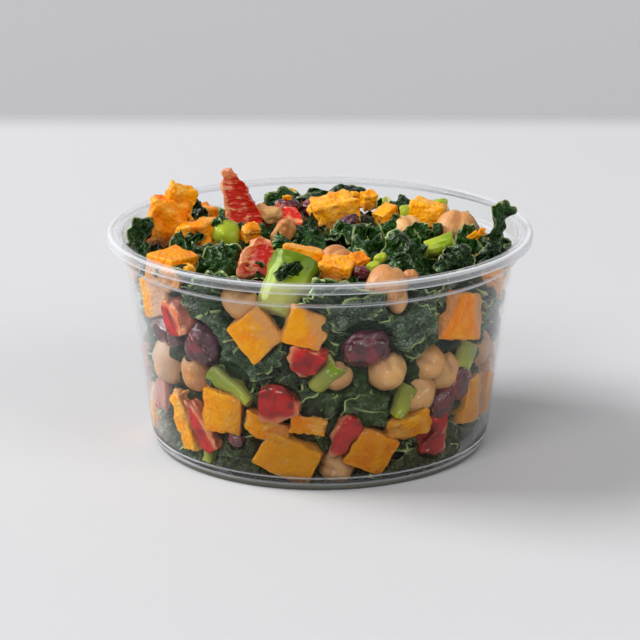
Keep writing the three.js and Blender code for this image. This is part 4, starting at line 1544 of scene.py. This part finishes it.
# Leaves that lie on the heap: middle, width and length, turns, curl and ruffle.
ON_TOP_LEAVES = [
    ((-48, -8, 58.2), (10, 11), (60, -35, -30), 2.4, 1.4),
    ((-31, -24, 58), (14, 13), (40, -8, 20), -2.5, 2.2),
    ((-24.5, -30, 58), (16, 14), (46, 8, -20), -2.5, 2.4),
    ((-35, -13, 57.2), (12, 9), (30, 8, -30), -2, 2),
    ((-37, 14, 57.6), (9, 8), (30, 30, 50), -2, 1.6),
    ((-3, -4, 58.2), (17, 13), (36, 4, 12), -3.4, 2.2),
    ((-9, -15, 57.4), (10, 10), (50, 30, 0), -2, 1.8),
    ((-3, 18, 57), (12, 9), (24, -10, 30), -2, 1.8),
    ((9, -1, 58), (14, 10), (40, 10, -10), -2.4, 2.4),
    ((17, 3, 58.2), (14, 10), (44, -16, 14), -2.6, 2.6),
    ((11, -12, 56.8), (15, 10), (24, 0, 40), -2, 2),
    ((24, -22, 57.8), (17, 15), (44, 6, -14), -3, 2.8),
    ((27, -3, 58), (8, 7), (50, 10, 30), -1.4, 1.2),
    ((36.5, -23, 57), (12, 10), (46, 14, 10), -1.6, 1.4),
    ((43, -8, 57.6), (13, 11), (46, 20, 40), -2.2, 2.2),
    ((48.8, 1, 59), (7.6, 19), (88, 50, -14), 1.4, 1.4),
    ((47.5, -14, 56.6), (11, 9), (40, 30, 60), -2, 2),
    ((4, 42, 58), (18, 8), (60, 0, 6), -2, 1.6),
    ((23, 34, 57), (12, 8), (50, 6, -10), -2, 1.6),
    ((9, -38, 56.4), (11, 8), (30, 0, 30), -1.6, 1.6),
    ((-4.6, -41, 60.6), (11, 8), (40, 24, 30), -3, 1.2),
]

# Small torn bits of leaf on the loose pieces, by the same fields as the leaves.
SMALL_LEAVES = [
    ((-27.2, -5.2, 62.9), (5, 4), (50, 20, 20), -1, 0.6),
    ((-22, -3.4, 60.2), (4, 4.6), (60, 10, -20), -1, 0.6),
    ((-33.6, 9.6, 62), (5, 6), (70, 10, 30), -1.2, 0.7),
    ((-34.8, -9, 59.6), (5.4, 4.4), (50, -10, 10), -1.2, 0.7),
    ((26.2, -0.8, 58.6), (7, 5), (60, 8, 10), 0.6, 0.4),
    ((32.2, -0.8, 59.4), (4, 4), (60, 0, 20), -0.8, 0.6),
    ((-6.8, -44.6, 61.2), (8, 6), (44, 20, 20), -2, 1),
]

# Leaves against the front of the wall: degrees, height, width and length, roll, depth of the
# middle, curl and ruffle. A negative curl brings the margin towards the wall.
WALL_LEAVES = [
    (-31, 50, (26, 17), 10, 2.0, -1.2, 1.5),
    (-26, 39, (24, 19), -40, 1.6, -1.4, 1.7),
    (-10, 33, (24, 17), 15, 2.6, -1.4, 1.8),
    (20, 48, (34, 17), 8, 0.9, -1.0, 1.3),
    (30, 43, (22, 17), -24, 1.0, -1.4, 1.6),
    (17, 22, (16, 14), 76, 1.0, -1.2, 1.6),
    (-64, 10, (22, 14), 50, 1.4, -1.2, 1.6),
    (-27, 7, (28, 12), -14, 0.9, -1.2, 1.6),
    (53, 12, (20, 16), 60, 1.6, -1.4, 1.8),
    (36, 5, (26, 10), 8, 0.9, -1.0, 1.5),
    (6, 50, (24, 14), -8, 2.0, -1.2, 1.6),
    (-4, 27, (22, 14), 24, 2.8, -1.2, 1.8),
    (73, 38, (24, 18), 30, 1.6, -1.4, 1.6),
    (-48, 53, (20, 12), -8, 2.6, -1.2, 1.4),
    (0, 4.5, (24, 8), 0, 1.4, -0.8, 1.2),
    (-73, 30, (24, 22), 0, 3.6, -1.2, 1.6),
    (57, 37, (22, 14), -30, 2.4, -1.2, 1.7),
]

WALL_ROWS = (8.0, 21.0, 34.0, 46.5)
WALL_SLOTS = 13
FRONT_DEGREES = 82
CROWN_SLOTS = 18
CROWN_RADIUS = 47
FILL_KINDS = (SQ, CP, RP, SQ, CB, CP, ST)
FILL_SIZES = {
    SQ: (11.5, 11, 12),
    CP: (10, 10.4, 10),
    RP: (9, 4, 12),
    CB: (11, 7.5, 7.5),
    ST: (5, 5, 12),
}


@dataclass(frozen=True)
class SaladLayout:
    """Works out where everything lies, by the same rules as the solids.

    Fields:
        heap_top: crown of the bare core.
        press: how far food that touches the wall reaches into it.
        shred: squash at the wall that is thinner than this is torn.
        row_seed, crown_seed: where the streams that fill the wall and the crown start.
    """

    heap_top: float = 55.6
    press: float = 0.3
    shred: float = 7.5
    row_seed: int = 11
    crown_seed: int = 37

    def heap_height(self, x: np.ndarray, y: np.ndarray) -> np.ndarray:
        """Height of the core's top: a dome with ripples, lower along the back of the cup."""
        dome = self.heap_top - 0.0009 * (x * x + y * y)
        ripple = 0.5 * np.sin(0.23 * x + 1) * np.cos(0.19 * y)
        return dome + ripple - 2.2 * smooth_step(np.asarray(y, float), 26, 48)

    def wall_piece(self, row: tuple, seed: int) -> Piece:
        """A piece behind the wall, turned at the front of the cup and then carried round it.

        Args:
            row: kind, degrees, height, size, turns and depth.
            seed: the piece's seed.

        Returns:
            The piece in its place.
        """
        kind, degrees, height, size, turns, depth = row
        radius = CUP.radius_at(height) - depth
        angle = math.radians(degrees)
        centre = np.array([radius * math.sin(angle), -radius * math.cos(angle), height])
        ragged = 0.0 if kind is not Kind.SQUASH else 1.0 if min(size) < self.shred else 0.35
        return Piece(kind, centre, size, turn_about(2, degrees) @ turned(turns), seed, ragged)

    def wall_distance(self, first: tuple, second: tuple) -> float:
        """Returns the millimetres along the wall between two rows of places."""
        turn = abs((((first[1] - second[1]) % 360) + 540) % 360 - 180)
        radius = CUP.radius_at((first[2] + second[2]) / 2)
        return math.hypot(math.radians(turn) * radius, first[2] - second[2])

    def wall_rows(self) -> list[tuple]:
        """Returns the listed pieces at the wall and those that fill the rows round it."""
        draws = Draws(self.row_seed)
        rows = list(AT_WALL)
        for number, height in enumerate(WALL_ROWS):
            for slot in range(WALL_SLOTS):
                pick = draws.several(7)
                degrees = 360 * (slot + 0.5 * (number % 2)) / WALL_SLOTS + 6 * (pick[0] - 0.5)
                kind = FILL_KINDS[int(pick[1] * len(FILL_KINDS))]
                size = tuple(value * (0.85 + 0.3 * pick[2]) for value in FILL_SIZES[kind])
                z = height + 3 * (pick[3] - 0.5)
                skin_out = 180 if kind is Kind.PEPPER else 0
                tilt = (40 * (pick[5] - 0.5), 360 * pick[4], 40 * (pick[6] - 0.5) + skin_out)
                row = (kind, degrees, z, size, tilt, 0.42 * size[1])
                reach = 0.5 * max(size[0], size[2])
                behind = abs((degrees + 180) % 360 - 180) > FRONT_DEGREES
                if behind and all(
                    self.wall_distance(row, other) > reach + 0.38 * max(other[3][0], other[3][2])
                    for other in rows
                ):
                    rows.append(row)
        return rows

    def tucked(self, degrees: np.ndarray, height: np.ndarray, depth: np.ndarray) -> np.ndarray:
        """Depths behind the wall, with what lies over a piece there moved in behind it.

        Round each piece the depth is at least that of a hollow as deep as the piece's back,
        which fades out smoothly past the piece's outline.

        Args:
            degrees: places round the cup.
            height: heights.
            depth: distances in from the wall.

        Returns:
            The new distances.
        """
        for _, centre, level, size, _, middle in self.wall_rows():
            along = np.radians((degrees - centre + 180) % 360 - 180) * CUP.inside_radius(height)
            away = np.hypot(along, height - level) / (0.5 * max(size[0], size[2]))
            hollow = (middle + 0.25 * size[1]) * (1 - smooth_step(away, 0.85, 1.35))
            depth = np.maximum(depth, hollow)
        return depth

    def crown_leaves(self) -> list[tuple]:
        """Returns rows of leaves all over the crown, on a sunflower spiral."""
        draws = Draws(self.crown_seed)
        rows = []
        for number in range(CROWN_SLOTS):
            pick = draws.several(5)
            radius = CROWN_RADIUS * math.sqrt((number + 0.5) / CROWN_SLOTS)
            x = radius * math.cos(number * GOLDEN_ANGLE)
            y = radius * math.sin(number * GOLDEN_ANGLE)
            size = (12 + 5 * pick[0], 9 + 4 * pick[1])
            turns = (40 * (pick[2] - 0.5), 40 * (pick[3] - 0.5), 360 * pick[4])
            rows.append(((x, y, float(self.heap_height(x, y)) + 0.4), size, turns, -1.6, 1.6))
        return rows

    def loose_piece(self, row: tuple, seed: int) -> Piece:
        """Returns a piece on top from its kind, middle, size, turns, raggedness and shade."""
        kind, centre, size, turns, ragged, shade = row
        return Piece(kind, np.array(centre, float), size, turned(turns), seed, ragged, shade)

    def within_cup(self, surface: Surface) -> Surface:
        """Presses whatever would pass the wall or the floor flat against it.

        Args:
            surface: food in its place.

        Returns:
            The food inside the cup, or at most the press deep in its plastic.
        """
        points = surface.points.copy()
        limit = CUP.inside_radius(points[:, 2]) + self.press
        low = smooth_step(points[:, 2], CUP.floor, CUP.heel_height + 1)
        limit = limit - 2.2 * (1 - low)
        reach = np.hypot(points[:, 0], points[:, 1])
        points[:, :2] *= np.minimum(1, limit / np.maximum(reach, 1e-6))[:, None]
        points[:, 2] = np.maximum(points[:, 2], CUP.floor - self.press)
        return surface.moved(points)

    def on_wall(self, surface: Surface, row: tuple) -> Surface:
        """Bends a flat leaf to follow the wall.

        Across the leaf becomes the angle round the cup, along it the height, and its own
        height the distance in from the wall.

        Args:
            surface: the leaf about the origin.
            row: degrees, height, size, roll, depth, curl and ruffle.

        Returns:
            The leaf in its place.
        """
        degrees, height, _, roll, depth, _, _ = row
        points = surface.points @ turn_about(2, roll).T
        z = height + points[:, 1]
        angle = math.radians(degrees) + points[:, 0] / CUP.radius_at(height)
        inward = self.tucked(np.degrees(angle), z, np.maximum(depth - points[:, 2], 0))
        radius = CUP.inside_radius(z) - inward
        placed = np.stack([radius * np.sin(angle), -radius * np.cos(angle), z], 1)
        return self.within_cup(surface.moved(placed))


LAYOUT = SaladLayout()


# ---------------------------------------------------------------- the salad


@dataclass(frozen=True)
class SaladHeap:
    """Everything in the heap's place: its core, the pieces at the wall, the crumbs and the leaves.

    Fields:
        core_inset: from the wall to the core.
        leaf_rows: heights of the rows of drawn leaves at the wall.
        leaf_slots: leaves in each row.
        leaf_seed: of the drawn leaves' places.
        wall_seed, bit_seed: of the first piece at the wall and the first small bit.
        placed_seed, drawn_seed, top_seed: of the first leaf of each kind.
    """

    core_inset: float = 3.6
    leaf_rows: tuple[float, ...] = (8.0, 18.0, 28.0, 38.0, 48.0)
    leaf_slots: int = 8
    leaf_seed: int = 23
    wall_seed: int = 300
    bit_seed: int = 600
    placed_seed: int = 40
    drawn_seed: int = 900
    top_seed: int = 140

    def core(self) -> Surface:
        """The folded leaves in the middle: a lathe with ridges all over, under the heap's dome.

        Each point moves out by the size of two noises, which makes sharp valleys between round
        folds. The flat leaf of the side is unrolled round the cup, and that of the top is seen
        from above.
        """
        heights = np.linspace(3.2, 49, 66)
        side = [(CUP.radius_at(z) - self.core_inset, z) for z in heights]
        top = [(radius, 53.0) for radius in (46, *range(44, 2, -3), 2.5)]
        profile = np.array([(0, 2.1), (30, 2.1), (40, 2.1)] + side + top + [(0, 53.0)])
        core = lathe(profile, 250)
        x, y, z = core.points.T
        angle = np.arctan2(y, x)
        bulge = 1 + 0.012 * np.sin(5 * angle + 0.2 * z) + 0.01 * np.sin(9 * angle - z)
        lift = smooth_step(z, 49, 53) * (LAYOUT.heap_height(x, y) - z)
        points = np.stack([x * bulge, y * bulge, z + lift - 0.4], 1)
        fold = np.abs(swell(points, 13.0, 71)) * 1.7 + np.abs(swell(points, 6.0, 72)) * 0.9
        fold = fold + 0.25 * swell(points, 2.6, 73) - 1.6
        on_side = 1 - smooth_step(z, 49, 52.5)
        outward = np.stack([np.cos(angle) * on_side, np.sin(angle) * on_side, 1 - on_side], 1)
        points = points + outward * (fold * smooth_step(z, 2.2, 5.0))[:, None]
        unrolled = np.stack([angle * 50 + 300, z, np.full(len(x), 0.3)], 1)
        above = np.stack([x + 300, y, np.full(len(x), 0.3)], 1)
        core.values["leaf"] = np.where(on_side[:, None] > 0.5, unrolled, above)
        core.values["tint"] = 0.25 + 0.2 * swell(points, 22.0, 74)
        return LAYOUT.within_cup(core.moved(points))

    def pieces(self) -> dict[Kind, list[Piece]]:
        """Returns the pieces of the heap by kind."""
        rows = enumerate(LAYOUT.wall_rows(), self.wall_seed)
        everything = [LAYOUT.wall_piece(row, seed) for seed, row in rows]
        bits = enumerate(SMALL_BITS, self.bit_seed)
        everything += [LAYOUT.loose_piece(row, seed) for seed, row in bits]
        return {kind: [piece for piece in everything if piece.kind is kind] for kind in Kind}

    def wall_leaves(self) -> Surface:
        """Returns the leaves at the wall: the listed ones and rows of others behind them."""
        random = np.random.default_rng(self.leaf_seed)
        leaves = []
        for seed, row in enumerate(WALL_LEAVES, self.placed_seed):
            _, _, (width, length), _, _, curl, ruffle = row
            flat = Leaf(width, length, -curl, ruffle, seed).surface()
            leaves.append(LAYOUT.on_wall(flat, row).with_value("tint", random.random()))
        for line, height in enumerate(self.leaf_rows):
            for slot in range(self.leaf_slots):
                place = slot + 0.5 * (line % 2) + random.uniform(-0.2, 0.2)
                degrees = 360 * place / self.leaf_slots
                size = (random.uniform(20, 28), random.uniform(13, 18))
                depth = random.uniform(2.8, 4.4)
                row = (degrees, height, size, random.uniform(-40, 40), depth, 0, 0)
                bends = random.uniform(0.6, 1.6), random.uniform(1.2, 1.9)
                flat = Leaf(*size, *bends, self.drawn_seed + len(leaves), 8, 76).surface()
                leaves.append(LAYOUT.on_wall(flat, row).with_value("tint", random.random()))
        return joined(leaves)

    def top_leaves(self) -> Surface:
        """Returns the leaves that lie on the heap."""
        random = np.random.default_rng(self.leaf_seed + 1)
        leaves = []
        rows = ON_TOP_LEAVES + LAYOUT.crown_leaves() + SMALL_LEAVES
        for seed, (centre, size, turns, curl, ruffle) in enumerate(rows, self.top_seed):
            flat = Leaf(*size, curl, ruffle, seed, 12, 84).surface()
            placed = flat.moved(flat.points @ turned(turns).T + np.array(centre, float))
            leaves.append(LAYOUT.within_cup(placed).with_value("tint", random.random()))
        return joined(leaves)

    def build(self) -> None:
        """Makes the heap's pieces in place of its solid."""
        kale = KaleFinish().material()
        core = add_object("salad_core", self.core(), kale)
        wall = add_object("kale_at_wall", self.wall_leaves(), kale)
        crown = add_object("kale_on_top", self.top_leaves(), kale)
        for piece in (core, wall, crown):
            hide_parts("salad")
            ride(piece)
        for kind, pieces in self.pieces().items():
            surface = joined([LAYOUT.within_cup(piece.surface()) for piece in pieces])
            heap = add_object(f"heap_{kind.value}", surface, FINISHES[kind].material())
            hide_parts("salad")
            ride(heap)


@dataclass(frozen=True)
class LooseToppings:
    """The large pieces that lie on the heap, each in place of its own solid."""

    first_seed: int = 900

    def build(self) -> None:
        """Makes one piece for each solid."""
        counts = dict.fromkeys(Kind, 0)
        materials = {kind: finish.material() for kind, finish in FINISHES.items()}
        for seed, row in enumerate(ON_TOP, self.first_seed):
            kind = row[0]
            counts[kind] += 1
            node = f"{kind.value}_{counts[kind]}"
            surface = LAYOUT.within_cup(LAYOUT.loose_piece(row, seed).surface())
            topping = add_object(f"loose_{node}", surface, materials[kind])
            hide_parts(node)
            ride(topping)


# ---------------------------------------------------------------- stage, light and camera


def stood(name: str, data: bpy.types.ID, place: Vector, aim: Vector) -> bpy.types.Object:
    """Adds a light or a camera that faces a point.

    Args:
        name: its name.
        data: the light's or camera's data.
        place: where it stands, in metres.
        aim: the point.

    Returns:
        The object, linked to the scene.
    """
    thing = bpy.data.objects.new(name, data)
    thing.location = place
    thing.rotation_euler = (aim - place).to_track_quat("-Z", "Y").to_euler()
    bpy.context.scene.collection.objects.link(thing)
    return thing


# Each light: name, place in metres, side in metres and watts. All face the one point.
LIT_POINT = (0.0, 0.0, 0.03)
LIGHTS = (
    ("key", (-2.9, 0.56, 2.15), 2.0, 150.0),
    ("overhead", (0.4, 0.1, 2.6), 2.4, 9.0),
    ("front_left_fill", (-1.2, -2.2, 2.1), 1.4, 40.0),
    ("front_right_fill", (2.0, -1.5, 1.5), 1.6, 27.0),
)


@dataclass(frozen=True)
class Studio:
    """A pale table top, a plain wall well behind it, four soft lights and the camera.

    The lights are a strong one from the left, a weak one overhead and two fills from the front.

    Fields:
        table_edge: how far behind the cup the table ends, in metres.
        table_near: how far it comes towards the camera, in millimetres, as are the next four.
        table_drop: how far its turned-down edge hangs.
        table_half_width: from its middle to its side.
        bend_radius: of the turn at its edge.
        blend: how far before its edge it takes on the far colour.
        wall_distance: how far behind the cup the wall stands, in metres.
        wall_low, wall_high, wall_half_width: its extents, in millimetres.
        wall_glow: its own light.
        camera_reach: from the camera to the point it looks at, in metres.
        camera_pitch: how far it looks down, in degrees.
        aim_height: height of that point, in metres.
        lens, sensor: focal length and width of the sensor, in millimetres.
        ambient: strength of the even light from all round.
    """

    table_edge: float = 0.418
    table_near: float = -1500.0
    table_drop: float = 60.0
    table_half_width: float = 1300.0
    bend_radius: float = 3.0
    blend: tuple[float, float] = (38.0, 2.0)
    # painted shade: the darker far strip of the table
    table_colour: Triple = (0.605, 0.605, 0.617)
    table_far: Triple = (0.42, 0.42, 0.435)
    wall_distance: float = 1.15
    wall_low: float = -700.0
    wall_high: float = 900.0
    wall_half_width: float = 1600.0
    wall_colour: Triple = (0.84, 0.83, 0.865)
    wall_glow: float = 0.05
    camera_reach: float = 0.70
    camera_pitch: float = 17.14
    aim_height: float = 0.03308
    lens: float = 141.4
    sensor: float = 36.0
    ambient: float = 0.12
    ambient_colour: Triple = (0.96, 0.97, 1.0)

    def table(self) -> None:
        """A flat sheet whose far edge turns down over a quarter circle."""
        bend = np.linspace(0, math.pi / 2, 8)
        radius = self.bend_radius
        edge = self.table_edge / MM
        y = np.concatenate([[self.table_near], edge - radius + radius * np.sin(bend), [edge]])
        z = np.concatenate([[0.0], radius * np.cos(bend) - radius, [-self.table_drop]])
        x = np.array([-self.table_half_width, self.table_half_width])
        points = np.stack([np.tile(x, len(y)), np.repeat(y, 2), np.repeat(z, 2)], 1)
        sheet = Surface(points, grid_quads(len(y), 2)[:, ::-1])
        start, end = (edge - back for back in self.blend)
        paper = StageFinish("table_paper", self.table_colour, self.table_far, start, end)
        table = add_object("table", sheet, paper.material())

    def wall(self) -> None:
        """An upright sheet behind the table."""
        y = self.wall_distance / MM
        side, low, high = self.wall_half_width, self.wall_low, self.wall_high
        points = np.array([[-side, y, low], [side, y, low], [side, y, high], [-side, y, high]])
        sheet = Surface(points, np.array([[0, 1, 2, 3]]))
        colour = self.wall_colour
        paint = StageFinish("wall_paint", colour, colour, y, y + 1, glow=self.wall_glow)
        wall = add_object("back_wall", sheet, paint.material())

    def light(self, name: str, place: Triple, size: float, watts: float) -> None:
        """Adds a square soft light that faces the middle of the cup.

        Args:
            name: its name.
            place: where it stands, in metres.
            size: length of its side.
            watts: its power.
        """
        lamp = bpy.data.lights.new(name, "AREA")
        lamp.size = size
        lamp.energy = watts
        stood(name, lamp, Vector(place), Vector(LIT_POINT))

    def surroundings(self) -> None:
        """Sets the even light from all round."""
        world = bpy.data.worlds.new("studio")
        world.use_nodes = True
        background = world.node_tree.nodes["Background"]
        background.inputs["Color"].default_value = (*self.ambient_colour, 1.0)
        background.inputs["Strength"].default_value = self.ambient
        bpy.context.scene.world = world

    def camera(self) -> None:
        """Stands the camera at the photo's distance and pitch."""
        pitch = math.radians(self.camera_pitch)
        aim = Vector((0.0, 0.0, self.aim_height))
        place = aim + Vector((0.0, -math.cos(pitch), math.sin(pitch))) * self.camera_reach
        data = bpy.data.cameras.new("camera")
        data.lens = self.lens
        data.sensor_width = self.sensor
        bpy.context.scene.camera = stood("camera", data, place, aim)

    def build(self) -> None:
        """Sets up the whole studio."""
        self.table()
        self.wall()
        self.surroundings()
        for row in LIGHTS:
            self.light(*row)
        self.camera()
        bpy.context.scene.view_settings.view_transform = "Standard"


def main() -> None:
    """Builds the cup, the salad and the studio."""
    logging.basicConfig(level=logging.INFO, format="%(name)s: %(message)s")
    CUP.build()
    SaladHeap().build()
    LooseToppings().build()
    Studio().build()


if __name__ == "__main__":
    main()
